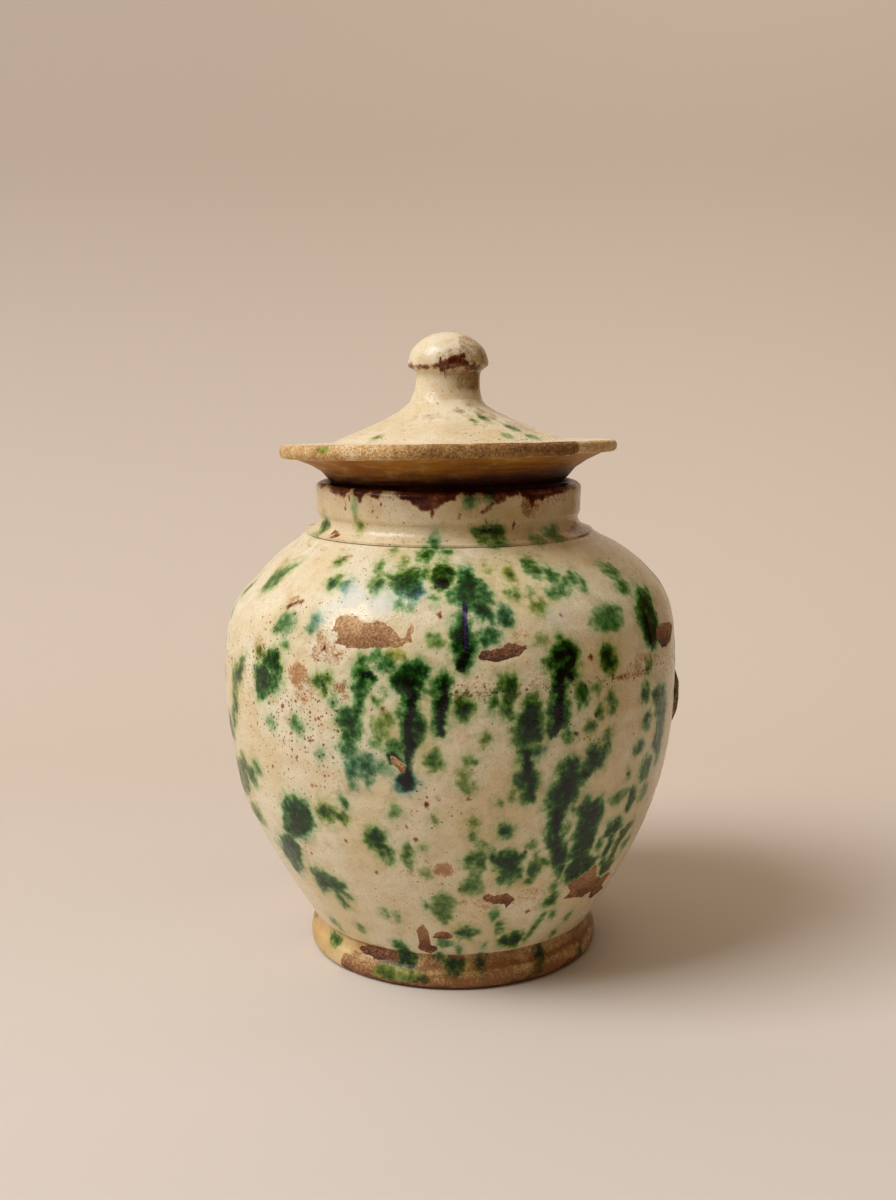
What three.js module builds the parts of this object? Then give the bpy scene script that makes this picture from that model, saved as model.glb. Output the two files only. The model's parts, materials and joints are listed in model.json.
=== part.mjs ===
// Lidded jar of hand-thrown glazed earthenware.
// Millimetres, +Z up, origin at the centre of the foot ring's resting face, front towards -Y.
// The jar is luted together from four thrown pieces, and the lid from three.

import * as THREE from 'three';

// A profile point
const at = (radius, height) => new THREE.Vector2(radius, height);

// Clay and joints
const bodyWall = 6; // wall of the jar's belly, square to its surface
const floorThickness = 9; // clay under the inside of the jar
const slipJoint = 0.3; // slip left between two luted pieces

// How finely the curves are drawn
const facets = 48; // sides round the axis
const bellySteps = 11;
const wallSteps = 8; // inside walls and the dome
const curveSteps = 5; // hollow curves and beads
const roundSteps = 3; // rounded edges

// Foot ring
const footHeight = 13.6;
const footRestRadius = 56.9; // outer edge of the resting face, before rounding
const footBeadRadius = 56.9; // the worn bead that stands out furthest
const footBeadHeight = 8; // top of the bead
const footBeadSwell = 5.2; // height at which the bead swells
const footBeadStep = 0.8; // how far the ring sets in above the bead
const footCreaseRadius = 54.6; // crease under the belly
const footBoreRadius = 45.5;
const footEdgeRound = 0.8;
const footRecess = 7.5; // depth of the hollow under the jar

// Belly, thrown as two bowls that meet a little above the widest place
const bellyRadius = 87.8;
const bellyHeight = 110; // height of the widest place
const bellySeamHeight = 120; // height of the joint between the two bowls
const belowCrease = 1.1; // how far the belly stands out over the foot's crease
const lowerLean = 31.4; // degrees from upright at which the belly leaves the foot
const lowerReach = 31.7; // length of the curve's handle at the foot
const lowerFullness = 44; // length of the handle below the widest place
const upperFullness = 40.6; // length of the handle above the widest place
const shoulderLean = 54.3; // degrees from upright at which the belly reaches the neck
const shoulderReach = 16.6; // length of the curve's handle at the neck
const shoulderHeight = 164.6;
const floorCurveHeight = 30; // where the curve of the inside floor runs into the wall

// Neck collar
const collarRadius = 51.1;
const collarWall = 4.4;
const collarHeight = 19.2; // from the shoulder to the top of the lip
const neckFlare = 4.1; // how far the foot of the neck stands out past the collar
const neckFlareEdge = 0.8;
const neckGrooveHeight = 6.5; // groove above the shoulder
const neckGrooveDepth = 1.1;
const neckGrooveWidth = 1.4;
const collarTaper = 0.4; // how far the collar draws in from its lip to the groove

// How the lid sits: it rests askew on its conical seat
const lidTiltBack = 2.6; // degrees, front edge up
const lidTiltSide = 1.05; // degrees, right edge up
const seatGap = 0.4; // clearance on the low side of the seat
const seatAngle = 40; // degrees from level of the seat's cone

// Lid dish
const rimOverhang = 13.6; // how far the rim stands out past the collar
const rimThickness = 5.3;
const rimRound = 2.2;
const rimAboveSeat = 7.5; // underside of the rim above the seat
const flangeWidth = 18.2; // flat of the rim outside the dome
const domeRise = 15.8; // from the rim to the foot of the knob
const domeFootSlope = 21; // degrees from level at which the dome leaves the rim
const domeFootReach = 16; // length of the curve's handle there
const domeTopSlope = 58; // degrees from level at which the dome meets the knob
const domeTopReach = 6;
const hollowWidth = 36; // radius at which the hollow under the dome begins
const lidWall = 6;

// Lid spigot
const spigotFlare = 14.3; // how far the hollow curve under the rim runs out past the seat
const spigotFlareEdge = 0.7;
const spigotCurveReach = 7.2; // length of the hollow curve's handle along the seat
const spigotClearance = 2.9; // between the spigot and the mouth
const spigotDrop = 9; // spigot below the seat
const spigotWall = 4.2;
const spigotTipRound = 1.8;

// Lid knob
const knobFootRadius = 13.8;
const knobNeckRadius = 12.2; // the stem's narrowest place
const knobNeckHeight = 9;
const knobStemPull = 3.4; // height at which the stem's hollow curve turns upright
const knobLipPull = 11; // height at which the hollow under the lip turns outwards
const knobStemHeight = 12.5;
const knobCapRadius = 15.5;
const knobLipDrop = 0.8; // cap's edge below its widest place
const knobCapHeight = 12.3;

// Glazes
const splashedGlaze = { color: 0xd9c9a0, roughness: 0.3, metalness: 0 };
const collarGlaze = { color: 0xc9b488, roughness: 0.3, metalness: 0 };
const wornFootGlaze = { color: 0xa2814f, roughness: 0.6, metalness: 0 };
const lidGlaze = { color: 0xe0d0a4, roughness: 0.32, metalness: 0 };
const amberGlaze = { color: 0x8f6428, roughness: 0.35, metalness: 0 };

// Sizes that follow from those above
const mouthRadius = collarRadius - collarWall;
const shoulderRadius = collarRadius + neckFlare;
const lipRound = collarWall / 2;
const lipCentre = at(collarRadius - lipRound, shoulderHeight + collarHeight - lipRound);
const seatSlope = THREE.MathUtils.degToRad(seatAngle);
const seatRadius = lipCentre.x - lipRound * Math.sin(seatSlope);
const seatHeight = lipCentre.y + lipRound * Math.cos(seatSlope);
const rimRadius = collarRadius + rimOverhang;
const domeRadius = rimRadius - flangeWidth;
const rimTop = rimAboveSeat + rimThickness;
const knobFoot = rimTop + domeRise;
const spigotRadius = mouthRadius - spigotClearance;
const spigotBore = spigotRadius - spigotWall;

// Profile helpers
function handle(point, degreesFromUpright, length) {
  const lean = THREE.MathUtils.degToRad(degreesFromUpright);
  return at(point.x + length * Math.sin(lean), point.y + length * Math.cos(lean));
}

function span(curve, start, end, steps) {
  const points = [];
  for (let i = 0; i <= steps; i += 1) {
    points.push(curve.getPoint(start + ((end - start) * i) / steps));
  }
  return points;
}

function spanInside(curve, start, end, steps, wall) {
  const points = [];
  for (let i = 0; i <= steps; i += 1) {
    const t = start + ((end - start) * i) / steps;
    const along = curve.getTangent(t);
    points.push(curve.getPoint(t).add(at(-along.y, along.x).multiplyScalar(wall)));
  }
  return points;
}

function arc(centre, radiusAcross, radiusUp, fromDegrees, toDegrees, steps) {
  const from = THREE.MathUtils.degToRad(fromDegrees);
  const to = THREE.MathUtils.degToRad(toDegrees);
  const turn = new THREE.EllipseCurve(centre.x, centre.y, radiusAcross, radiusUp, from, to, to < from);
  return turn.getPoints(steps);
}

function paramAtHeight(curve, height) {
  let low = 0;
  let high = 1;
  for (let i = 0; i < 40; i += 1) {
    const middle = (low + high) / 2;
    if (curve.getPoint(middle).y < height) low = middle;
    else high = middle;
  }
  return (low + high) / 2;
}

function thrown(name, profile, glaze) {
  const geometry = new THREE.LatheGeometry(profile, facets);
  geometry.rotateX(Math.PI / 2);
  const mesh = new THREE.Mesh(geometry, new THREE.MeshStandardMaterial(glaze));
  mesh.name = name;
  return mesh;
}

const closed = (points) => [...points, points[0].clone()];

// The belly's outline, from the foot's crease to the widest place and on to the neck
const bellyFoot = at(footCreaseRadius + belowCrease, footHeight + slipJoint);
const bellyMost = at(bellyRadius, bellyHeight);
const bellyTop = at(shoulderRadius, shoulderHeight);
const lowerCurve = new THREE.CubicBezierCurve(
  bellyFoot,
  handle(bellyFoot, lowerLean, lowerReach),
  handle(bellyMost, 180, lowerFullness),
  bellyMost,
);
const upperCurve = new THREE.CubicBezierCurve(
  bellyMost,
  handle(bellyMost, 0, upperFullness),
  handle(bellyTop, 180 - shoulderLean, shoulderReach),
  bellyTop,
);

function footRing() {
  const beadTop = at(footBeadRadius - footBeadStep / 2, footBeadHeight - footBeadStep / 2);
  const setIn = at(footBeadRadius - footBeadStep, footBeadHeight);
  const crease = at(footCreaseRadius, footHeight);
  const roundCentre = at(footRestRadius - footEdgeRound, footEdgeRound);
  const bead = new THREE.QuadraticBezierCurve(
    at(footRestRadius, footEdgeRound),
    at(footBeadRadius + footBeadStep, footBeadSwell),
    beadTop,
  );
  const cavetto = new THREE.QuadraticBezierCurve(
    setIn,
    at(footCreaseRadius, footBeadHeight + footBeadStep),
    crease,
  );
  return thrown('foot_ring', closed([
    at(footBoreRadius + footEdgeRound, 0),
    ...arc(roundCentre, footEdgeRound, footEdgeRound, -90, 0, roundSteps),
    ...span(bead, 0, 1, curveSteps).slice(1),
    ...span(cavetto, 0, 1, curveSteps),
    at(footBoreRadius, footHeight),
    at(footBoreRadius, footEdgeRound),
  ]), wornFootGlaze);
}

function lowerBody() {
  const bossRadius = footBoreRadius - slipJoint;
  const floorHeight = footRecess + floorThickness;
  const rimParam = paramAtHeight(upperCurve, bellySeamHeight);
  const rim = upperCurve.getPoint(rimParam);
  const wallStart = paramAtHeight(lowerCurve, floorCurveHeight);
  const wallInside = spanInside(lowerCurve, wallStart, 1, wallSteps, bodyWall);
  const floorCurve = new THREE.QuadraticBezierCurve(
    at(bossRadius / 2, floorHeight),
    at(bossRadius, floorHeight),
    wallInside[0],
  );
  return thrown('lower_body', [
    at(0, footRecess),
    at(bossRadius, footRecess),
    at(bossRadius, footHeight + slipJoint),
    ...span(lowerCurve, 0, 1, bellySteps),
    upperCurve.getPoint(rimParam / 2),
    rim,
    at(rim.x - bodyWall, bellySeamHeight),
    ...wallInside.reverse(),
    ...span(floorCurve, 1, 0, roundSteps).slice(1),
    at(0, floorHeight),
  ], splashedGlaze);
}

function upperBody() {
  const rimHeight = bellySeamHeight + slipJoint;
  const rimParam = paramAtHeight(upperCurve, rimHeight);
  const rim = upperCurve.getPoint(rimParam);
  const wallStart = paramAtHeight(upperCurve, rimHeight + bodyWall);
  const wallInside = spanInside(upperCurve, wallStart, 1, wallSteps, bodyWall);
  const ledge = wallInside[wallInside.length - 1];
  return thrown('upper_body', closed([
    at(rim.x - bodyWall, rimHeight),
    ...span(upperCurve, rimParam, 1, bellySteps),
    at(mouthRadius, shoulderHeight),
    at(mouthRadius, ledge.y),
    ...wallInside.reverse(),
  ]), splashedGlaze);
}

function neckCollar() {
  const foot = shoulderHeight + slipJoint;
  const grooveRadius = collarRadius - neckGrooveDepth;
  const groove = at(grooveRadius, shoulderHeight + neckGrooveHeight);
  const edge = at(shoulderRadius, foot + neckFlareEdge);
  const cavetto = new THREE.QuadraticBezierCurve(edge, at(grooveRadius, edge.y + neckFlareEdge), groove);
  return thrown('neck_collar', closed([
    at(mouthRadius, foot),
    at(shoulderRadius, foot),
    ...span(cavetto, 0, 1, curveSteps),
    at(collarRadius - collarTaper, groove.y + neckGrooveWidth),
    ...arc(lipCentre, lipRound, lipRound, 0, 180, 2 * roundSteps),
  ]), collarGlaze);
}

function lidDish() {
  const flatStart = rimRadius - rimRound;
  const domeFoot = at(domeRadius, rimTop);
  const domeTop = at(knobFootRadius, knobFoot);
  const dome = new THREE.CubicBezierCurve(
    domeFoot,
    handle(domeFoot, domeFootSlope - 90, domeFootReach),
    handle(domeTop, domeTopSlope + 90, domeTopReach),
    domeTop,
  );
  const ceiling = knobFoot - lidWall;
  const hollow = spanInside(dome, 0, 1, wallSteps, lidWall)
    .filter((point) => point.x < hollowWidth && point.y < ceiling);
  return thrown('lid_dish', [
    at(0, ceiling),
    ...hollow.reverse(),
    at(spigotBore, rimAboveSeat),
    ...arc(at(flatStart, rimAboveSeat + rimRound), rimRound, rimRound, -90, 0, roundSteps),
    ...arc(at(flatStart, rimTop - rimRound), rimRound, rimRound, 0, 90, roundSteps),
    ...span(dome, 0, 1, wallSteps),
    at(0, knobFoot),
  ], lidGlaze);
}

function lidSpigot() {
  const top = rimAboveSeat - slipJoint;
  const flareEdge = at(seatRadius + spigotFlare, top - spigotFlareEdge);
  const seat = at(seatRadius, 0);
  const cavetto = new THREE.QuadraticBezierCurve(
    seat,
    handle(seat, 90 - seatAngle, spigotCurveReach),
    flareEdge,
  );
  const shoulderDrop = (seatRadius - spigotRadius) * Math.tan(seatSlope);
  const tipCentre = at(spigotRadius - spigotTipRound, spigotTipRound - spigotDrop);
  return thrown('lid_spigot', closed([
    at(spigotBore, -spigotDrop),
    ...arc(tipCentre, spigotTipRound, spigotTipRound, -90, 0, roundSteps),
    at(spigotRadius, -shoulderDrop),
    ...span(cavetto, 0, 1, curveSteps),
    at(flareEdge.x, top),
    at(spigotBore, top),
  ]), amberGlaze);
}

function lidKnob() {
  const foot = at(knobFootRadius, knobFoot + slipJoint);
  const capMost = at(knobCapRadius, foot.y + knobStemHeight + knobLipDrop);
  const capEdge = at(knobCapRadius - knobLipDrop / 2, foot.y + knobStemHeight);
  const neck = at(knobNeckRadius, foot.y + knobNeckHeight);
  const stem = new THREE.QuadraticBezierCurve(foot, at(knobNeckRadius, foot.y + knobStemPull), neck);
  const underLip = new THREE.QuadraticBezierCurve(neck, at(knobNeckRadius, foot.y + knobLipPull), capEdge);
  return thrown('lid_knob', [
    at(0, foot.y),
    ...span(stem, 0, 1, curveSteps),
    ...span(underLip, 0, 1, curveSteps).slice(1),
    ...arc(at(0, capMost.y), knobCapRadius, knobCapHeight, 0, 90, wallSteps),
  ], lidGlaze);
}

// The lid's own frame has its origin at the centre of its seat
function lid() {
  const back = THREE.MathUtils.degToRad(lidTiltBack);
  const side = THREE.MathUtils.degToRad(lidTiltSide);
  const tilt = Math.acos(Math.cos(back) * Math.cos(side));
  const group = new THREE.Group();
  group.add(lidDish(), lidSpigot(), lidKnob());
  group.rotation.set(-back, -side, 0);
  group.position.z = seatHeight + seatGap + seatRadius * Math.sin(tilt);
  return group;
}

const liddedJar = new THREE.Group();
liddedJar.add(footRing(), lowerBody(), upperBody(), neckCollar(), lid());

export default liddedJar;
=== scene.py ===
"""Looks of a lidded jar: hand-thrown earthenware, cream slip under clear glaze, splashed with copper green.

Shapes and marks are worked out in millimetres, and meshes are in metres. A turn is in degrees round a
piece's axis, from the front, positive to the right. A height runs along that axis from the table.
The lists of marks were read and placed one by one.
"""
import json
import math
from collections import namedtuple
from itertools import product

import bpy
import numpy as np
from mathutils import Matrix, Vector


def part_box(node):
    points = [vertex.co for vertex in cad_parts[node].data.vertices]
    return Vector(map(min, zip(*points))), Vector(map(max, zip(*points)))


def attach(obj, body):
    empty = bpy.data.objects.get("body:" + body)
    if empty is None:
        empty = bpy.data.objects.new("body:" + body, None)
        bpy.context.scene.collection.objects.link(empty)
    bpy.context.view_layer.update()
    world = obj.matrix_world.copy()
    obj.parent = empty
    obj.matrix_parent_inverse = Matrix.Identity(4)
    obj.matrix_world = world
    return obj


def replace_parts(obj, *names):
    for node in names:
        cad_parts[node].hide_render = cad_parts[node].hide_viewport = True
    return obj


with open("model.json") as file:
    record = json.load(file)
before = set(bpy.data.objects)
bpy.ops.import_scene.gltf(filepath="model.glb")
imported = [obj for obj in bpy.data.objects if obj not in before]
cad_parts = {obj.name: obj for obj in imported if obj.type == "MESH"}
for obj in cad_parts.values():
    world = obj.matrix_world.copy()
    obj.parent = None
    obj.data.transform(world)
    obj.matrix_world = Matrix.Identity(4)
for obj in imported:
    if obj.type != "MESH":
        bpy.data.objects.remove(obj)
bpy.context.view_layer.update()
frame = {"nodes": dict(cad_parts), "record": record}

MM = 0.001

# How finely the pieces are turned
JAR_COLUMNS = 600
LID_COLUMNS = 480
KNOB_COLUMNS = 220
SEEN_ROW = 1.0  # height of a row of faces where it shows
HIDDEN_ROW = 8.0
CORNER_TURN = 48  # degrees by which an outline turns at a real edge
CREASE_TURN = 40  # degrees between faces past which shading breaks
WHEEL_RADIUS = 100.0  # the circle that sections are swept round

# Slip joints that glaze has filled
BELLY_JOINT_FILL = 0.14
LID_JOINT_FILL = 0.28

# Where the marks were measured: one degree on the belly's widest circle
BELLY_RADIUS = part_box("lower_body")[1].x / MM
DEGREE = math.radians(1) * BELLY_RADIUS
FULL_TURN = 360 * DEGREE

# Copper green masses on the jar: thickness, tone from blue -1 to olive 1, then the outline
GREEN_MASSES = [
    # Shoulder
    (1.15, .2, (-19.4, 156.8), (-16.7, 156.2), (-14.4, 158), (-12.1, 158.6), (-9, 158.2), (-8.6, 155.6),
     (-10.2, 152.2), (-12.2, 150.6), (-14.4, 151.8), (-15.4, 153.2), (-17.4, 155)),
    (.8, -1, (-12.8, 152), (-11, 153.5), (-9.6, 155), (-7.6, 154.8), (-6.8, 152.4), (-8.2, 150.2),
     (-10.2, 149.2)),
    (1.2, .2, (-3.1, 160.8), (-1.1, 160.3), (.9, 158.6), (2, 157), (.5, 155), (-.8, 153.3), (-2.5, 153.2),
     (-4.1, 154.2), (-5.1, 156), (-4.4, 158.2)),
    (.95, -.15, (3, 157.5), (5.3, 158.8), (7, 158.5), (8, 155.5), (9.6, 153.5), (11.3, 151.5),
     (11, 149.5), (9.6, 148.5), (10.6, 146), (10.6, 143.5), (8.6, 143), (6.6, 144), (6, 146), (5, 148),
     (2.7, 148.5), (0, 149), (1, 151.5), (2.7, 153.5)),
    (.95, -.1, (1.3, 144.6), (3.2, 146), (4.6, 145), (4.8, 140), (6.4, 136.6), (6, 134), (5, 132.4),
     (5.2, 130), (4, 128), (2.4, 127.8), (1.2, 129.6), (1.6, 132.6), (.1, 134), (.7, 136.6), (.2, 139.4)),
    (.5, 0, (36, 140), (38, 143.6), (44, 144.6), (48, 143), (46.6, 137.6), (43.3, 136), (40, 135.6),
     (38, 138)),
    (.6, .2, (-65.7, 155), (-59.4, 156), (-55.8, 157.5), (-58, 154), (-58.7, 150), (-60.7, 147.5),
     (-66, 148.5)),
    (1, 0, (53.2, 139), (55.2, 144), (60.5, 147), (65.8, 145.5), (62.5, 141), (62.5, 134), (60.5, 129),
     (57.2, 127), (54.6, 130), (53.9, 135)),
    # Belly, left of the front
    (1, 0, (-20.7, 130.5), (-19.2, 131), (-19.1, 127), (-17.4, 125.5), (-16.8, 123.6), (-18.1, 122),
     (-18.4, 120), (-20, 119.4), (-22.1, 119.6), (-23.1, 121), (-22.4, 124.6), (-21.4, 128)),
    (1.05, 0, (-24.7, 112.6), (-22.1, 113), (-20.8, 115.4), (-20, 113), (-20.4, 108), (-21.1, 103),
     (-22.4, 102.4), (-23.4, 105), (-25.8, 106.4), (-26, 108.6), (-25.1, 111)),
    (.85, -.2, (-26.7, 99), (-24.4, 100.6), (-23, 103), (-22.4, 102), (-22.6, 100), (-21.4, 99.4),
     (-21.6, 98), (-24, 98)),
    (.65, -.4, (-24.6, 95), (-23.4, 97.4), (-20.6, 96.6), (-19, 97.6), (-17.4, 96.6), (-16.4, 93),
     (-17.4, 90.4), (-18.4, 87.4), (-19.6, 84.4), (-20.6, 88), (-21.6, 91), (-23, 87), (-22.6, 84.4),
     (-23.4, 84), (-24.4, 87.8), (-25, 92)),
    (1.25, -.1, (-12.1, 126.5), (-10.1, 130), (-6.8, 130.3), (-5.3, 128), (-5.1, 122.5), (-6.1, 119.5),
     (-7.4, 118.7), (-10.1, 119), (-12.1, 121.5), (-12.8, 124)),
    (1.1, .1, (-8, 112.4), (-6.4, 112.6), (-5.8, 109), (-5.6, 105), (-6.8, 103), (-8.6, 104)),
    (1.05, 0, (-3.8, 123.6), (-1.5, 126.6), (.2, 125.6), (0, 120), (-.8, 115), (-1.1, 108.6),
     (-1.6, 105.4), (-3.1, 105.4), (-4.1, 109.6), (-3.8, 114.6), (-2.8, 118.6), (-4.1, 121)),
    (.8, .3, (-32.8, 121.4), (-31.4, 123.4), (-28.6, 124.2), (-27.4, 123), (-27.9, 120.6), (-28.6, 118.6),
     (-29.4, 116.8), (-30, 116.6), (-30.4, 118.6), (-32, 119.6)),
    (1, 0, (-48.8, 128), (-46.6, 129), (-44.8, 128), (-42.8, 123), (-43.5, 117), (-45.5, 114),
     (-46.8, 115), (-48.2, 112), (-50.8, 110.6), (-52, 113), (-52.1, 116), (-52.8, 121), (-50.8, 124)),
    (.75, .3, (-66.7, 118), (-63.4, 120), (-58.7, 124), (-60, 119), (-61, 114), (-63.4, 113),
     (-63.7, 105), (-64.7, 101), (-66.7, 95), (-70, 93), (-70.6, 99), (-67.4, 105), (-67, 111)),
    # Belly, right of the front
    (1.1, .15, (24, 133), (25.6, 134.6), (29.2, 135), (30.9, 132.6), (31.2, 128.6), (29.9, 127),
     (30.6, 123.6), (29.6, 121.6), (28, 121), (26.2, 122.6), (25, 123.4), (24.6, 126), (22.6, 126.6),
     (21.2, 128), (21, 129.6), (23.2, 130)),
    (1.05, .1, (23.2, 117), (26.2, 117.2), (28, 115), (27.6, 110.6), (26.6, 106.4), (24.6, 105.4),
     (23, 105), (22, 102.8), (22.2, 109), (21.8, 112.6)),
    (.9, .2, (11.3, 125), (14.3, 125.6), (14.6, 122.6), (14, 119), (13.6, 115), (14.6, 111), (13, 110.4),
     (11.3, 112), (11, 114.6), (12.3, 118), (11, 120.6)),
    (.9, .1, (8.6, 118.6), (10.3, 120), (10.6, 117), (9.6, 113.6), (8.8, 114)),
    (1.05, .2, (16.6, 117.6), (19.6, 117.6), (20.6, 115), (21, 110.6), (21, 105), (20, 102),
     (17.6, 100.6), (16, 100), (14.3, 103), (13.6, 106), (14.3, 109.6), (16.3, 112.6)),
    (1, .05, (15.6, 101), (19, 101), (19.2, 94), (19.8, 91), (20.4, 87), (19.8, 84), (19.6, 81),
     (17.9, 80), (16.6, 81), (16, 84), (14.8, 86), (14.6, 88.6), (15.4, 92)),
    (.9, .2, (1.3, 117.6), (3, 119.4), (5, 118), (5.6, 116.4), (4.6, 113), (3.3, 110.6), (2, 110),
     (1.2, 113)),
    (.75, -.1, (55.9, 112), (64.5, 112), (67, 103), (65.8, 95), (65.2, 85), (62.5, 81), (61.2, 86),
     (58.5, 91), (60.5, 96), (58.5, 104), (56.9, 109)),
    # Below the belly, left of the front
    (1, -.1, (-44.8, 76), (-41, 76.6), (-37.9, 76), (-36.6, 72), (-36.4, 68), (-37.9, 65), (-39.7, 62),
     (-41.2, 61), (-44.2, 59.4), (-46.8, 59), (-49.5, 61.6), (-46.8, 67), (-46.6, 72)),
    (.85, -.1, (-48.8, 59.4), (-46.4, 59.4), (-45.6, 54), (-48.2, 47), (-50.1, 43.4), (-54, 40),
     (-56.4, 41), (-57.4, 45), (-58.7, 49.4), (-55.4, 54), (-51.5, 57.4)),
    (.95, .1, (-44.8, 45.6), (-42, 47), (-39.7, 46.8), (-36.4, 45), (-33, 43), (-32.7, 41.4), (-34.5, 40),
     (-31.9, 37.2), (-32.8, 36.4), (-34.9, 38.4), (-36, 38.4), (-36.4, 34.6), (-35.2, 32.4), (-36.8, 32),
     (-37.9, 35), (-38, 39), (-40.5, 38.4), (-43, 37), (-44.6, 36), (-45, 41)),
    (.8, .3, (-34.3, 74.5), (-32.8, 77), (-29.7, 76.5), (-26.1, 73), (-27.3, 70.5), (-28.9, 72),
     (-30.8, 69.5), (-33.4, 70.5)),
    (1, .15, (-20, 70), (-18.1, 70.5), (-16.1, 67), (-16.3, 64.5), (-15, 61), (-15.5, 58), (-16.3, 56.3),
     (-16.7, 59), (-17.2, 60.8), (-18.5, 58), (-19.4, 60), (-21.1, 62), (-21.7, 64), (-20.7, 68)),
    (.7, .5, (-65.4, 85.5), (-62.7, 84), (-62.4, 78), (-63.4, 72), (-66.7, 69), (-74, 66), (-78, 60),
     (-78, 77), (-71, 81)),
    # Below the belly, right of the front
    (1.05, .05, (25.2, 93), (27.6, 95), (30, 94), (31, 90.6), (32, 86), (31.4, 80.6), (30.4, 77.6),
     (28.4, 74.6), (28, 70), (28.6, 66), (30.4, 62), (31.4, 58), (32, 53), (31.8, 48.6), (31.4, 47),
     (29.8, 48), (29, 51), (27, 53), (26.6, 57), (25, 60.6), (24, 64), (24.4, 72), (23.4, 76), (22.6, 79),
     (23.6, 83.4), (24.6, 87)),
    (.95, .1, (31, 86), (32.6, 84), (34.8, 87), (37.4, 89.4), (39, 92), (38.4, 96), (36, 98.6),
     (33.6, 98), (33, 94), (31.4, 90)),
    (1.05, -.05, (30.4, 74.8), (33.4, 75.5), (33.8, 79), (34.7, 79), (35.3, 75.5), (37.5, 77), (39, 77),
     (39.4, 74.5), (40.9, 72), (41, 68.5), (39.4, 66), (39.7, 62), (40.1, 58), (39.4, 54.5), (42, 51),
     (44.6, 50), (42.6, 46), (38.6, 43), (35.6, 43), (33.8, 45), (33.2, 47.5), (33.8, 52), (32.3, 55),
     (32.5, 59), (33.8, 62), (31.7, 63.3), (32.5, 67), (32.7, 71)),
    (.8, .2, (2.3, 58.5), (4.4, 61.5), (7.3, 62), (8.5, 59), (8.6, 55), (6, 54.6), (3.2, 56)),
    (.5, .1, (4.4, 54), (8.4, 54), (8, 50), (7, 47), (5, 48.6), (4.4, 51)),
    (1, .1, (9.2, 61), (10, 61.5), (11, 58.6), (12.6, 61.4), (14.6, 61.4), (16.6, 60), (18.6, 60),
     (18, 57), (17, 54.6), (18.4, 54), (19.4, 52), (19, 49.6), (17.6, 49), (16.4, 49.6), (15.6, 46.6),
     (14.4, 48), (13.6, 46.8), (12.4, 48), (12.6, 51), (13, 54.4), (11.6, 54.4), (10.4, 56.4),
     (9.4, 58.6)),
    (.85, .2, (21, 58.6), (22.4, 58.6), (22, 56.6), (24.4, 56), (26, 55), (25.8, 53.6), (24.4, 53.4),
     (24.6, 50.4), (22.8, 48.6), (21.6, 46.6), (20.6, 47.6), (21.4, 50), (20.6, 52), (20.8, 55)),
    (.95, .1, (16.4, 20), (17.4, 23), (19.2, 23.6), (20.2, 22.4), (22.4, 23), (24.6, 21.6), (25, 18.6),
     (24.2, 16.4), (21.6, 16), (18.8, 17.4), (17, 18)),
    (.9, .1, (1, 24.6), (2.8, 27.4), (5, 28.4), (6.6, 26.6), (8, 25), (6.4, 23.6), (6.2, 22), (4.8, 23),
     (2.4, 22.6)),
    (.75, .1, (28.6, 34), (29, 38.6), (31, 40), (33, 38), (34, 34), (32, 32.8), (29.6, 32.8)),
    (1.1, 0, (44, 64), (48.6, 65), (50.9, 62), (48.9, 59), (48.6, 50), (50.6, 46), (55.9, 45), (55, 42),
     (50.6, 40), (48.6, 45), (47.3, 47), (46.3, 51), (47.3, 59), (44, 59)),
    (.85, .1, (51.3, 59), (55.9, 61), (57.9, 59), (54.6, 55), (53.9, 51), (54, 47), (51.3, 46),
     (50.9, 53)),
]

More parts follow.
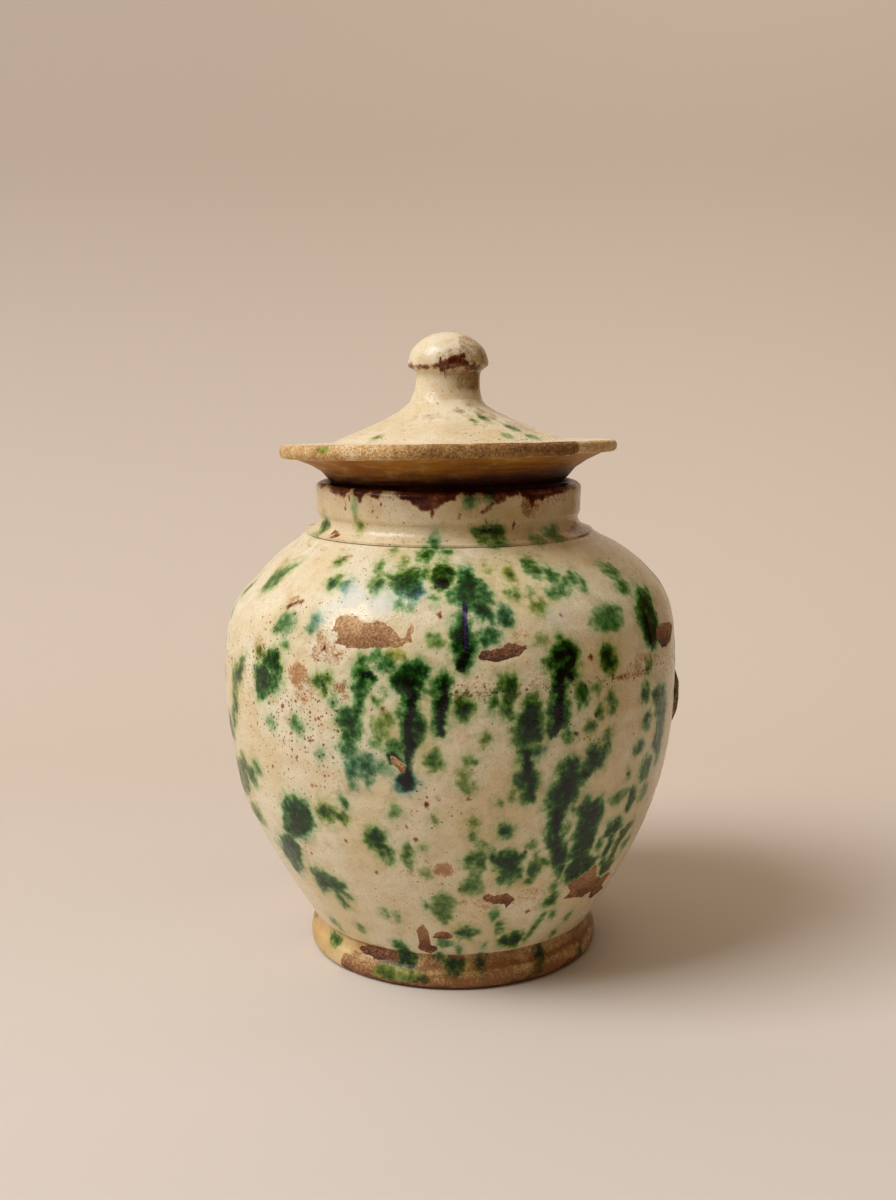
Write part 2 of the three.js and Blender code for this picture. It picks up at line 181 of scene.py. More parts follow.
# Smaller splashes: turn, height, width, tallness, thickness, tone
SPLASHES = [
    # Shoulder, left of the front
    (-37.5, 159.8, 6, 2, .6, .3), (-34.2, 153.6, 5, 3.5, .9, .2), (-22.4, 158.7, 4, 2.5, .7, .2),
    (-19.4, 163.2, 4.5, 1.3, .4, .3), (-14.8, 160.7, 4, 2.3, .6, .4), (-20.7, 153.7, 6, 3, 1, .2),
    (-8.4, 162.7, 8, 3.5, 1, .1), (-1.6, 163.5, 8, 1.5, .6, 0), (-6.8, 157.5, 4, 2.5, .9, .2),
    (-4.1, 150, 3, 1.5, .7, 0), (.5, 150.5, 4, 3, .6, 0), (-12.8, 147.5, 4, 3.5, .4, .1),
    (-9.8, 147, 3, 2.5, .35, 0), (-29.4, 152.3, 5, 2, .5, -.6), (-34.7, 142, 4, 4, .4, -.5),
    (-35.4, 139.5, 5, 3, .4, -.3), (-3.5, 137.2, 5.5, 4.5, .6, .2),
    # Belly, left of the front
    (-16.8, 132, 4, 4, .85, -.1), (-14.8, 129, 6.5, 4, .9, -.2), (-13.1, 132.5, 7.5, 3, .5, 1),
    (-27, 115, 3, 4, .5, -.2), (-16.3, 116.7, 3, 2.5, .8, .2), (-14.3, 120.2, 2, 1.8, .6, 0),
    (-15.8, 106.5, 6, 9, .5, .3), (-14.4, 110, 5, 5, .45, .5), (-13, 99.5, 6, 8, .5, 0),
    (-15.6, 93, 5, 6, .3, -.2), (-16.8, 101.7, 4.5, 2.5, .8, 0), (-10.9, 113.5, 3, 4, .9, 0),
    (-9.9, 88.5, 7, 6, 1.1, -.8), (-3.8, 96.8, 5.5, 7.5, .85, .2), (-37.5, 104.5, 5.5, 6, .55, 0),
    (-30.7, 95, 6, 4, .25, -.2),
    # Shoulder, right of the front
    (13.6, 144.7, 5.5, 6.5, .95, -.35), (9.6, 138.2, 7.5, 6, .85, -.2), (12, 158.2, 4, 1.5, .6, .4),
    (18.1, 156.7, 4.5, 3.5, .55, .5), (16.9, 151.5, 6, 2.5, .7, .3), (22.1, 152, 2.5, 1.8, .5, .2),
    (22.8, 146.5, 7.5, 5.5, .4, .4), (26.4, 158, 7.5, 5, .75, .1), (31.2, 155.5, 6.5, 5, .8, 0),
    (39.9, 153.5, 3, 2.5, .5, 0), (39, 150.5, 4, 3, .35, 0), (21.3, 136.2, 5, 3, .3, .3),
    (26.2, 137.5, 4, 3, .4, .1),
    # Belly, right of the front
    (31.2, 116.5, 5, 8, .9, .1), (35.2, 117.5, 3, 3.5, .75, .1), (36.4, 109.7, 3, 4, .85, .2),
    (33.7, 104.5, 4.5, 4.5, .55, .2), (27.4, 103, 4, 4.5, .85, .1), (40, 112, 5, 6.5, .75, .1),
    (39.5, 127, 7.5, 10.5, .9, .2), (20, 98.5, 4, 4, .5, -.3), (7.6, 104, 4, 4.5, .5, .4),
    (4.3, 96, 4, 3.5, .75, .2), (3, 91, 5, 4, .4, .5), (38.9, 97.5, 4.5, 11, .85, .1),
    # Below the belly, left of the front
    (-26, 78.2, 2.5, 4, .8, -.1), (-11.2, 60, 3.5, 10, .75, .2), (-13.5, 77, 3, 5, .45, 0),
    (-3.8, 74.5, 2, 4.5, .5, .2), (-7.3, 63.5, 4, 3, .35, .2), (-21.1, 32, 3, 3, .45, 0),
    (-17.7, 31.5, 4, 4, .45, .1), (-7.7, 38.5, 2, 4, .55, 0), (-2.8, 37.5, 10, 15, .5, .2),
    (-6.9, 52.5, 5, 5, .3, .3), (-2.8, 20, 9, 3.5, .6, -.1), (-20, 17, 8, 5, .75, 0),
    (-34.2, 21.5, 5, 4, .4, .1),
    # Below the belly, right of the front
    (3.2, 88, 6.5, 6, .45, .2), (11.2, 80.2, 1.5, 1.5, .7, .1), (14, 82.5, 2, 4, .6, .2),
    (5.1, 73, 4, 4.5, .8, .3), (5.1, 68.7, 2.5, 2.5, .7, 0), (12.9, 69.2, 5.5, 6.5, .95, 0),
    (5.1, 47, 10, 9, .35, .1), (20.4, 63, 3, 4, .5, .1), (29, 67.5, 3, 4, .6, 0),
    (7.3, 64.2, 4, 2.5, .5, 0), (30.5, 43.2, 5, 4, .45, 0), (12.6, 32.5, 4, 5.5, .7, 0),
    (15.4, 26.5, 4.5, 5, .75, .1), (1.9, 17, 2.5, 4.5, .6, -.1), (10.9, 17.5, 2.5, 2.5, .5, 0),
    (34.6, 28.5, 3.5, 4, .6, 0),
    # Far left
    (-43.9, 139, 9, 7, .4, -.2), (-46.2, 137, 4, 3, .5, -.1), (-42.9, 132, 4, 3, .45, 0),
    (-51.8, 127, 5, 4, .8, .7), (-46.9, 103, 5, 4, .35, 0), (-75, 92, 14, 11, .65, .5),
    (-56.5, 83, 6, 5, .6, 0), (-60.4, 78, 9, 8, .7, .1), (-64.8, 61, 16, 8, .5, .3),
    (-49.5, 19, 10, 4, .4, .1),
    # Far right
    (54.6, 154, 11, 6, .5, .1), (53.9, 149, 9, 4, .65, 0), (54.6, 121, 4, 5, .7, .1),
    (52.9, 112, 6, 7, .7, .1), (54.2, 101.5, 5, 6, .75, .1), (51.2, 92.5, 6, 5, .8, .1),
    (48.3, 83.5, 3, 3, .6, 0), (56.5, 82, 9, 10, .65, 0), (45.9, 75, 12, 5, .5, .1),
    (51.9, 72, 5, 11, .85, 0), (58.5, 72, 8, 7, .3, 0), (43, 56.5, 4, 5, .6, 0),
    (58.5, 51.5, 7, 6, .6, 0), (44, 24, 5, 4, .45, 0), (40.6, 17, 5, 4, .5, 0),
    # Collar
    (-41.8, 178, 6, 10, .18, .1), (-40, 171, 7, 4, .5, .5), (-66.2, 168.8, 15, 6, .85, .3),
    (-5.5, 166.8, 7, 4.6, .5, -.2), (8.3, 181, 10, 5.5, .4, -.1), (16.6, 181.6, 8, 5.5, .35, -.1),
    (16.1, 169.8, 22, 5.4, 1.15, .3), (17.5, 166.2, 20, 2.6, .4, 0), (47, 168, 20, 5, .4, -.1),
    (36, 166.3, 10, 2.6, .35, 0),
    # Foot
    (-54.8, 9.8, 13, 3.4, .9, .1), (-18.7, 11.5, 13, 6.5, .95, .2), (-5.8, 13.2, 6, 3.5, .7, -.2),
    (.6, 9.4, 12, 5, 1, .1), (10.3, 10.3, 5, 5.4, .95, .1), (35.7, 9.5, 7, 5.5, .9, .2),
    (34.1, 4.4, 7, 4.4, .55, .9), (59.4, 5, 8, 4, .4, .2), (-40.4, 4.5, 7, 4, .5, 1),
    (-36.8, 2.6, 5, 2, .5, 1), (-25, 4.8, 24, 6, .6, .3), (-15, 4.6, 16, 5, .45, .2),
]

# Runs of thick glaze: thickness, tone, width, then the places that the run passes
GREEN_RUNS = [
    (1, 0, 2.6, (-20.3, 122), (-20.7, 115), (-21.2, 106)),
    (1.1, 0, 5.4, (-8.5, 119), (-8.9, 112), (-9.2, 102.6)), (1.1, .1, 6, (25.6, 124), (24.8, 115)),
    (.7, 0, 2.5, (27.2, 150.2), (31.6, 151), (34.5, 153), (37.9, 154.2)),
    (.7, .1, 2.2, (30.8, 28.5), (29, 23.5), (27.1, 18.5)), (.8, 0, 3.5, (-23.8, 104), (-24, 98)),
]

# Runs of glaze too thick to see through: width, then the places
BLACK_RUNS = [
    (2.4, (-8.8, 123), (-8.1, 118.5), (-8.8, 113.5), (-9.3, 107.5), (-9.1, 102), (-9.3, 99.5), (-10, 91)),
    (1.7, (-1, 123.5), (-1.6, 118), (-2, 112), (-2.3, 106)), (2.4, (3.5, 133), (2.5, 128.8)),
    (2.3, (26.6, 127), (25.1, 122.5), (24.7, 115), (24.6, 107.5), (23.4, 104.5)),
    (1.1, (25.5, 130), (27, 132), (29.5, 130.5), (28.5, 127), (27, 125.5), (28.3, 122)),
    (1.2, (17.3, 98), (17.2, 91)), (1.3, (26.2, 75), (27, 62)), (2.8, (56.5, 138), (57.2, 130)),
    (.5, (-19.5, 124.8), (-17.5, 125.2), (-16.7, 124.2)), (1.4, (-3, 154.3), (-.4, 154)),
    (1, (-13.9, 95.5), (-13.7, 98), (-12.8, 98.2), (-10.6, 95.3), (-9.9, 92), (-11.2, 91)),
    (3, (-10.4, 89.5), (-9.8, 87.6)),
]
VIOLET_RUNS = [(1.7, (4, 148.5), (3.7, 143.5), (3.6, 139), (3.7, 134.5))]

# Manganese brown that ran from the lip: outlines, then runs with their width
BROWN_PATCHES = [
    ((-62, 186), (-60, 183.4), (-57, 182.3), (-54.5, 181.3), (-53, 180.9), (-51, 181.8), (-49, 181),
     (-47.5, 180.2), (-46.6, 181.8), (-45.4, 183.6), (-45, 186)),
    ((-44, 186), (-43, 183), (-41.5, 181.8), (-39.3, 179.7), (-37.8, 179.3), (-36.8, 181.5), (-35, 182.2),
     (-31, 181.6), (-29.3, 181.2), (-28.7, 183), (-29, 186)),
    ((-25, 186), (-22, 183), (-19.5, 182), (-16, 180.6), (-13, 179.2), (-11.5, 177.8), (-8.5, 177.4),
     (-6.2, 178), (-4, 178.8), (-1.5, 180.5), (1, 181.2), (2.5, 181), (3.2, 183), (4, 186)),
    ((4, 186), (6, 183), (9, 182.9), (14, 183.2), (17, 182.5), (18.5, 180.6), (17, 179.6), (15.2, 178.2),
     (13.2, 177), (13.8, 176.6), (16.4, 177.9), (19, 179.6), (21.5, 180.2), (23.5, 181.4), (26, 182.6),
     (29, 182.9), (30.5, 186)),
    ((30.5, 186), (31, 182.6), (34, 181), (35, 178.5), (36.5, 178), (38, 179.6), (41, 180.4), (45, 181.2),
     (52, 182), (60, 182.6), (70, 183), (76, 186)),
]
LIP_BROWN = 186  # height at which the patches begin
BROWN_RUNS = [
    (.9, (-47.3, 178.7), (-47.2, 178.4)), (.9, (-47.6, 176.5), (-47.4, 176.2)),
    (.8, (-45, 180.7), (-44.8, 180.4)), (1, (-64, 184.4), (0, 184.4), (75, 184.2)),
    (.9, (-6.2, 177.4), (-6.8, 175.4)), (.6, (4.6, 176.4), (4, 175), (4.3, 174.4)),
    (.5, (-55.5, 167.2), (-50, 166.4)), (1, (27.2, 172.4), (27.6, 171.6)), (.7, (-46, 144), (-41.5, 147)),
    (-1.1, (25, 121.2), (31, 120.6), (38, 120.4), (46, 119.8), (55, 120.2), (65, 119.8)),
    (-.8, (-2, 119.4), (3, 120.4), (10, 119.8)),
]

# Stains of iron in the slip: turn, height, width, tallness, strength
RUST = [
    (-37.2, 122, 9, 9, 1), (-35.5, 117, 9, 11, .7), (-37, 113, 6, 8, .5), (-30, 131, 14, 7, .7),
    (-25.4, 120.5, 5.5, 3, .9), (-24.4, 116, 2.5, 4, .8), (-25.2, 86.5, 8, 7, .4),
    (-24.5, 96.5, 4, 4, .5), (-43, 54.5, 12, 8, .35), (-44.5, 146, 9, 2.6, .8), (-36, 161.2, 5, 1.4, .8),
    (-41, 162.6, 5, 1.2, .7), (-50.5, 162.2, 6, 1.2, .7), (-63, 162.2, 7, 1.2, .8),
    (1.5, 118.5, 6, 3, .7), (5.5, 103, 3, 3, .4), (22.4, 120.7, 2.5, 2.5, .7), (2.9, 39.5, 2.5, 3.5, .8),
    (-2.3, 54.2, 7, 5, 1.15), (11, 41, 16, 8, .5), (24, 41, 18, 6, .45), (-3, 48, 5, 4, .4),
    (16.6, 138.5, 6.5, 5.5, .5), (6, 124, 5, 4, .35), (24, 35, 18, 5, .35), (-33, 134, 9, 8, .3),
    (-44, 124, 8, 8, .25), (-52, 130, 7, 6, .6), (-59.5, 118, 8, 8, .55), (-32.5, 136, 5, 3, .8),
    (-26.6, 130.8, 6, 4, .7), (20, 122, 8, 8, .4), (4, 121, 18, 9, .45), (6, 120, 14, 3, .5),
    (48, 120.5, 30, 2.4, .8), (53, 122.5, 24, 7, .65), (-10.6, 53, 2, 3, .8), (36, 178, 12, 7, .8),
    (-66, 11, 12, 4, .6), (-32, 12.5, 20, 4, 1), (-32, 9.5, 16, 3, .8), (-10, 10, 14, 5, .7),
    (3, 12.6, 6, 3, .8), (8, 182, 30, 5, .4), (50, 181, 40, 6, .5), (-30, 182.5, 60, 4, .35),
    # The entry at turn 70, height 167 darkens the crease at the collar's foot on the right
    (-8, 166, 60, 2, .3), (70, 167, 36, 4, 1.1), (72, 178, 26, 12, .5), (34, 179.5, 10, 10, .9),
]

# Milky places where the glaze crystallised; those on the shoulder and at the collar's left edge also paint
# the key light's highlight: turn, height, width, tallness, strength
MILKY_AND_HIGHLIGHT = [
    (-17, 150, 14, 8, 1.4), (-26.5, 149.5, 11, 6, 1.2), (-31, 146, 8, 6, .8), (-33.5, 142.5, 6, 5, .8),
    (27, 143.5, 16, 6, .7), (-35.3, 49, 3, 3, .2), (-72, 183, 12, 3, .6), (-72, 142, 9, 10, .4),
]

# Single brown specks: turn, height, width
SPECKS = [
    (-30.2, 132.2, 1.4), (-26.4, 130.5, 1.3), (-2.5, 145, 1.3), (33.9, 128.7, 2), (-20.5, 51, 1.6),
    (-9, 66.2, 1.7), (-5.8, 80.5, 1.6), (-3, 83, 1.3), (28.2, 143.5, 1.3), (19.5, 65.5, 1.5),
    (18.9, 60.2, 1.2), (32.7, 88, 1.9), (-8, 78.2, 1), (-7.5, 82.6, 1), (-34.8, 82.6, 1.6),
    (-27.5, 62.7, 1.2), (-41, 54, 1.6), (4, 82.2, 1), (35.1, 108.2, 1.3), (15.2, 118.8, 1.7),
    (16, 121.5, 1.1), (22.3, 119, 1.2), (9, 120, 1.3), (-15, 114, 1.6), (-33.9, 99.5, 1.5),
    (-42.3, 110.5, 1.4), (-42.6, 97, 1.4), (-48, 86.2, 1.4), (-32, 108, 1.2), (-6.5, 57.5, 1.2),
    (2, 46.3, 1.4), (6.2, 33.3, 1), (23.8, 33, 2), (28, 80.2, 2.2), (-11, 71.5, 1.5), (29.5, 103.2, 1.2),
    (48.5, 98, 1.3), (48, 83, 1.4), (-28, 178.9, 1), (-32.2, 176.5, 1), (-29.8, 174.2, .9),
    (15, 173.5, 1), (18.2, 173.6, 1), (-42.5, 142.5, 1.2),
]

# Places where glaze and slip have flaked off: shade of the clay from pale 0 to dark 1, then the outline
FLAKES = [
    (.48, (-29, 139.5), (-28.7, 142), (-27.4, 143.8), (-25.9, 144.4), (-24.6, 143.6), (-23.6, 143.8),
     (-22.1, 142.5), (-20.4, 141.9), (-18.7, 142), (-17.7, 142.9), (-15.8, 142.6), (-14.1, 141.3),
     (-12.8, 139.8), (-11.6, 138), (-10.6, 137.8), (-10.2, 139), (-10, 141), (-8.8, 142.4), (-8.5, 141),
     (-8.9, 138.6), (-8.6, 136.3), (-9.9, 136.5), (-11.1, 134.8), (-15.4, 134.4), (-18.1, 134.2),
     (-20.1, 133.4), (-24.1, 133.8), (-27.9, 134.5), (-26.9, 136.2), (-27.2, 137.8), (-28.7, 139)),
    (.78, (6.1, 131.2), (7.6, 134.2), (9.6, 134.1), (11.6, 134.2), (13.3, 136), (14.8, 136), (16.3, 135),
     (18, 135.1), (17.1, 133), (15.9, 131.5), (13.3, 130.7), (11.3, 130.1), (8.6, 130.4)),
    (.7, (59.8, 129.4), (60.6, 133), (65, 134), (70, 133.4), (74.4, 131.5), (75, 130), (69.8, 125.5),
     (63.5, 125.6)),
    (.7, (62.6, 139), (64.6, 138), (63.5, 136.8)),
    (.68, (8.4, 41.7), (10.3, 44), (11.8, 42), (15.4, 43), (18.7, 39.7), (16.3, 36), (15.5, 38.2),
     (12.2, 38.2), (9.2, 40.5)),
    (.66, (33.5, 44.2), (36.5, 42), (40, 44.5), (43, 45), (45, 47.5), (47, 45), (48.5, 41), (52, 39),
     (56, 39.5), (59.5, 37.5), (57, 33.5), (62, 30), (55, 28.5), (52, 29.5), (50.5, 33), (46, 32.5),
     (41, 34), (36, 35), (38.5, 37.5)),
    (.66, (-9.9, 29.2), (-12.1, 25.5), (-11.8, 21), (-12.9, 17), (-12.1, 15.5), (-8.4, 14.2),
     (-5.6, 16.5), (-5.6, 18), (-8, 18.5), (-8.2, 25.5)),
    (.62, (-7.3, 23), (-5.1, 25.7), (-1.7, 25.5), (.7, 23.2), (-1, 22), (-6.6, 22)),
    (.55, (-13.6, 97.8), (-12.8, 97.8), (-10.6, 95), (-10.1, 92), (-11.1, 91.6), (-13.4, 95)),
    (.6, (-47, 7.4), (-30.5, 7.4), (-33.5, 1), (-49.5, 1)),
    (.85, (-41, 10.5), (-36, 12.5), (-31, 13.4), (-22, 13.2), (-21.5, 9.6), (-30, 8.6), (-38, 9)),
    (.7, (-2.5, 13.3), (4.6, 13), (4.8, 11.4), (1, 11.6), (-2, 12)),
]

# A scab of kiln grit that stuck to the right side: turn, height, width, tallness
SCAB = (84.8, 100.4, 5.5, 21)
SCAB_PROUD = 1.9

# Splashes on top of the lid: turn, radius, width, length, thickness, tone
LID_SPLASHES = [
    (-39.7, 40.5, 4.5, 2.5, .45, .3), (35.1, 24.1, 4.2, 4.5, .8, .2), (21.8, 27, 3, 2.6, .6, .3),
    (45.4, 33.7, 4, 6.5, .7, .1), (32.1, 40.8, 4.2, 3, .6, .1), (46.8, 42.1, 5, 3.4, .55, 0),
    (128, 30, 7, 9, .8, .1), (170, 41, 9, 6, .9, .2), (-150, 26, 5, 7, .8, 0), (-118, 38, 8, 6, .7, .3),
    (-96, 30, 4, 4, .5, .1), (100, 44, 6, 5, .7, .2), (150, 52, 10, 7, .6, .1), (-172, 55, 6, 5, .7, .2),
    (-128, 52, 7, 4, .6, .3), (84, 22, 3, 4, .6, 0), (-62, 54, 5, 3, .4, .4),
]

# Iron stains on top of the lid; those right of the knob, at turns 44 to 60, also paint the shade on the
# dome's right: turn, radius, width, length, strength
LID_RUST_AND_SHADE = [
    (-13.8, 22, 9, 5, .6), (16, 19, 5, 3, .8), (34, 16, 7, 4, .55), (26, 30, 10, 5, .5),
    (44, 22, 9, 9, .7), (58, 33, 12, 12, .6), (-32, 46, 5, 2, .4), (8, 50, 8, 2, .6), (60, 36, 8, 6, .3),
    (140, 36, 12, 8, .4), (-140, 44, 10, 8, .4),
]

# The right end of the lid's rim was ground thinner: between which turns, and how far its underside rose
RIM_TONGUE = (46, 118)
RIM_TONGUE_LIFT = 0.6

# Green on the rim's edge: turn, height, width, tallness, thickness, tone
RIM_SPOTS = [(-43, 197.4, 9, 2.6, .85, .85)]
RIM_SPOT_REACH = 3  # how far it reaches onto the rim's top

# Amber glaze left on the rim's bare clay: turn, height, width, tallness, strength
RIM_AMBER = [(-34, 196, 10, 4, .9), (-72, 197, 10, 7, .9), (-84, 197, 5, 7, .7), (-20, 198.6, 20, 2, .6)]

# Brown chips along the rim: turn, size
RIM_CHIPS = ((14.4, .8), (30.6, 1.1), (-60, .6), (150, 1.6), (-120, 1.2))

# Grains of sand in the rim
RIM_GRAINS = 450000  # per square metre
RIM_GRAIN_RADIUS = 0.26
RIM_GRAIN_SEED = 3

# Under the rim: how much deeper the curve is hollowed, and at which radii it starts, is full, fades, ends
RIM_HOLLOW = (1.3, 44, 50, 56, 63)
FEATHER_REACH = 5  # how far in from its outer edge the spigot runs out thin
FEATHER_SHARE = 0.9  # of its thickness

# Brown on the knob: width, then turn and height
KNOB_BROWN = [
    (2.6, (-14, 226.6), (-6, 227.8), (6, 229), (15, 230.2)), (1.9, (14, 230.4), (25, 231.2)),
    (2.4, (8, 228.4), (23, 228.8), (32, 227)), (1, (-12, 229.4), (-10, 229.6)),
    (.3, (-95, 228), (-60, 227.8), (-16, 227.4)), (1, (32, 227), (60, 226.6), (95, 227)),
    (1.4, (-6, 226), (-4, 223.6)), (1.2, (120, 227.6), (180, 227.8), (250, 227.6)),
    (1.4, (150, 228), (156, 223.5)),
]

# Iron stains on the knob, which on its right, under the cap and down the stem also paint shade: turn,
# height, width, tallness, strength
KNOB_RUST_AND_SHADE = [
    (16, 224, 36, 10, .45), (36, 223, 60, 13, .8), (58, 222, 60, 15, .95), (68, 224, 90, 14, .75),
    (24, 226, 110, 5, .75), (10, 229.5, 80, 9, .7), (62, 232, 80, 9, .75), (30, 233.5, 40, 7, .85),
    (-20, 216, 70, 2, .4), (-70, 227.8, 90, 3, .6), (48, 237.6, 50, 3, .9),
]
KNOB_STAIN_AND_SHADE_FADE = 5  # above the knob's foot
KNOB_FEWER_SPECKS = 0.25

# Amber glaze under the rim darkens towards the mouth, partly as pooled glaze and partly as painted shade in
# the recess under the rim: from which height down to which, and how much
AMBER_POOLS_AND_SHADE = ((192.5, 186, .35), (188, 183.5, .65))

# Marks for the sides that the front doesn't show: how many of each
HIDDEN_SPLASHES = 170
HIDDEN_RUNS = 11
HIDDEN_FLAKES = 9
HIDDEN_STAINS = 26
HIDDEN_COLLAR_SPLASHES = 9
HIDDEN_SEED = 5

# Where iron specks crowd: turn, height, and how far the crowd reaches both ways
SPECK_CROWD = (-38, 118, 36, 46)
SPECK_SPREAD = 0.6  # how much wider a speck's brown grows in the glaze
SEAM_HEIGHT = 120  # pits along the joint of the two bowls
SEAM_GLAZED_TURN = -33  # round which glaze hides the pits

# How the clay moved under the potter's hands: height, and how far it leans to the right there
LEAN = ((0, .7), (170, -1.2), (201, -1.2), (212, -2), (224, -.6))
# Swells and hollows: turn, height, spread, how far out
SWELLS = ((90, 141, 17, 2.1), (-90, 150, 9, -2.5), (90, 158, 6, .8), (-90, 62, 14, 1.3))
# Lumps: how far out, how far across, and a shift that tells them from other lumps
JAR_LUMPS = ((0.22, 42, 20), (0.07, 9, 21), (0.025, 3, 22))
LID_LUMPS = ((0.16, 34, 50), (0.06, 8, 51), (0.02, 2.6, 52))
THROWING_RING = 7.5
LID_RING = 4.2
WORN_EDGE = 0.9  # at the foot's lower edge
FOOT_SLIP = (-23, 4.8, 32, 6)  # slip left on the foot: turn, height, width, tallness
FLAKE_DEPTH = 0.24
FLAKE_LIP = 0.03
RUN_PROUD = 0.25

# Marks that each mesh carries for its material: depths inside an edge, and shares
EDGED = ("green", "black", "violet", "brown", "bare")
# Of the shares, the iron stain mark also carries painted shade, and the milky mark painted highlights
SHARES = ("coat", "tone", "rust_and_shade", "milky_and_highlight", "speck", "clay")
MARKS = EDGED + SHARES
OUTSIDE = -6.0


def smooth_step(low, high, value):
    """A share that eases from 0 at low to 1 at high."""
    share = np.clip((value - low) / (high - low), 0, 1)
    return share * share * (3 - 2 * share)


LATTICE_SEED = 11
LATTICE = np.random.default_rng(LATTICE_SEED).uniform(-1, 1, (64, 64, 64))


def noise(points, size, shift=0):
    """Smooth lumps from -1 to 1, about size across."""
    place = points / size + 17.37 * shift
    cell = np.floor(place).astype(int)
    share = place - cell
    share = share * share * (3 - 2 * share)
    total = np.zeros(len(points))
    for corner in product((0, 1), repeat=3):
        weight = np.prod(np.where(corner, share, 1 - share), axis=1)
        column, row, layer = ((cell + corner) % len(LATTICE)).T
        total += weight * LATTICE[column, row, layer]
    return total


def lumps(points, sizes):
    """Lumps of several sizes on top of each other."""
    return sum(out * noise(points, size, shift) for out, size, shift in sizes)


def stray(points, size, shift):
    """Uneven shifts along and up a sheet, for edges that no hand drew."""
    return np.array([noise(points, size, shift), noise(points, size, shift + 1)])


# Reading the turned solids
Wheel = namedtuple("Wheel", "origin basis")
Section = namedtuple("Section", "points facing seen closed")


def node_mesh(name):
    """A node's corners, each once, and its edges as pairs of their numbers."""
    mesh = frame["nodes"][name].data
    loose = np.array([vertex.co for vertex in mesh.vertices]) / MM
    points, number = np.unique(loose.round(3), axis=0, return_inverse=True)
    edges = np.array([edge.vertices for edge in mesh.edges])
    return points, number.ravel()[edges]


def wheel_of(names):
    """The axis that nodes were turned on: they spread alike both ways across it, so it is the odd way."""
    points = np.vstack([node_mesh(name)[0] for name in names])
    centre = points.mean(axis=0)
    spread, ways = np.linalg.eigh(np.cov((points - centre).T))
    odd = 0 if spread[1] - spread[0] > spread[2] - spread[1] else 2
    up = ways[:, odd] * np.sign(ways[2, odd])
    right = np.cross((0, 1, 0), up)
    right /= np.linalg.norm(right)
    return Wheel(centre - up * centre[2] / up[2], np.array([right, np.cross(up, right), up]))


def read_outline(name, wheel):
    """The node's outline as corners (radius, height), clockwise, and whether it closes on itself."""
    points, edges = node_mesh(name)
    across, back, height = ((points - wheel.origin) @ wheel.basis.T).T
    radius = np.hypot(across, back)
    turn = np.degrees(np.arctan2(across, -back))
    aside = (turn - turn[radius.argmax()] + 180) % 360 - 180
    spots = np.stack([radius, height], axis=1)
    outline = spots[(np.abs(aside) < 1) | (radius < 0.01)]
    nearest = np.linalg.norm(spots[:, None] - outline[None], axis=2).argmin(axis=1)
    beside = {number: set() for number in range(len(outline))}
    for one, other in nearest[edges]:
        if one != other:
            beside[one].add(other)
            beside[other].add(one)
    ends = [number for number in beside if len(beside[number]) == 1]
    order = [ends[0] if ends else 0]
    while True:
        onward = [number for number in beside[order[-1]] if number not in order]
        if not onward:
            break
        order.append(onward[0])
    outline = outline[order]
    ahead = np.roll(outline, -1, axis=0)
    area = np.sum(outline[:, 0] * ahead[:, 1] - ahead[:, 0] * outline[:, 1])
    return (outline[::-1] if area > 0 else outline), not ends


def unit(vectors):
    """Vectors of the same ways, one long."""
    return vectors / np.linalg.norm(vectors, axis=-1, keepdims=True)


def fine_section(outline, closed, facing_up=False):
    """The outline drawn as smooth curves between its real edges, with short rows where it shows."""
    if closed:
        ways = unit(np.roll(outline, -1, axis=0) - outline)
        turns = np.sum(ways * np.roll(ways, 1, axis=0), axis=1)
        outline = np.roll(outline, -turns.argmin(), axis=0)
        outline = np.vstack([outline, outline[:1]])
    ways = unit(np.diff(outline, axis=0))
    bends = np.degrees(np.arccos(np.clip(np.sum(ways[1:] * ways[:-1], axis=1), -1, 1)))
    edges = {0, len(outline) - 1} | {number + 1 for number in np.flatnonzero(bends > CORNER_TURN)}
    headings = unit(np.vstack([ways[:1], outline[2:] - outline[:-2], ways[-1:]]))
    rows = []
    for number, way in enumerate(ways):
        start, end = outline[number], outline[number + 1]
        first, last = headings[number], headings[number + 1]
        if number in edges and number + 1 in edges:
            first = last = way
        elif number in edges:
            first = 2 * np.dot(last, way) * way - last
        elif number + 1 in edges:
            last = 2 * np.dot(first, way) * way - first
        length = np.linalg.norm(end - start)
        seen = -way[1] > 0.05 or (facing_up and way[0] > 0.05)
        steps = max(1 + seen, math.ceil(length / (SEEN_ROW if seen else HIDDEN_ROW)))
        for step in range(steps):
            t = step / steps
            point = (start * (1 + 2 * t) * (1 - t) ** 2 + first * length * t * (1 - t) ** 2
                     + end * t * t * (3 - 2 * t) + last * length * t * t * (t - 1))
            point[1] = max(point[1], outline[:, 1].min())
            heading = unit((1 - t) * first + t * last)
            facing = (-heading[1], heading[0])
            if step == 0 and rows and rows[-1][2] and not seen:
                rows.append((point, rows[-1][1], True))
            else:
                rows.append((point, facing, seen))
    if not closed:
        rows.append((outline[-1], rows[-1][1], rows[-1][2]))
    elif rows[-1][2] and not rows[0][2]:
        rows[0] = (rows[0][0], rows[-1][1], True)
    points, facing, seen = (np.array(column, float) for column in zip(*rows))
    return Section(points, facing, seen, closed)


# Nodes
def add(tree, kind, inputs=None, stops=None, **settings):
    """Adds a node with settings and, by input name or number, values and links. Returns its outputs."""
    node = tree.nodes.new(kind)
    for key, value in settings.items():
        setattr(node, key, value)
    for key, value in (inputs or {}).items():
        if isinstance(value, bpy.types.NodeSocket):
            tree.links.new(value, node.inputs[key])
        else:
            node.inputs[key].default_value = value
    if stops:
        ramp = node.color_ramp
        for position, code in stops[2:]:
            ramp.elements.new(position)
        for element, (position, code) in zip(ramp.elements, stops):
            element.position = position
            element.color = linear(code)
    return node.outputs


def linear(code):
    """An sRGB hex colour as linear red, green, blue and alpha."""
    parts = [int(code[start:start + 2], 16) / 255 for start in (1, 3, 5)]
    return (*[c / 12.92 if c <= 0.04045 else ((c + 0.055) / 1.055) ** 2.4 for c in parts], 1)


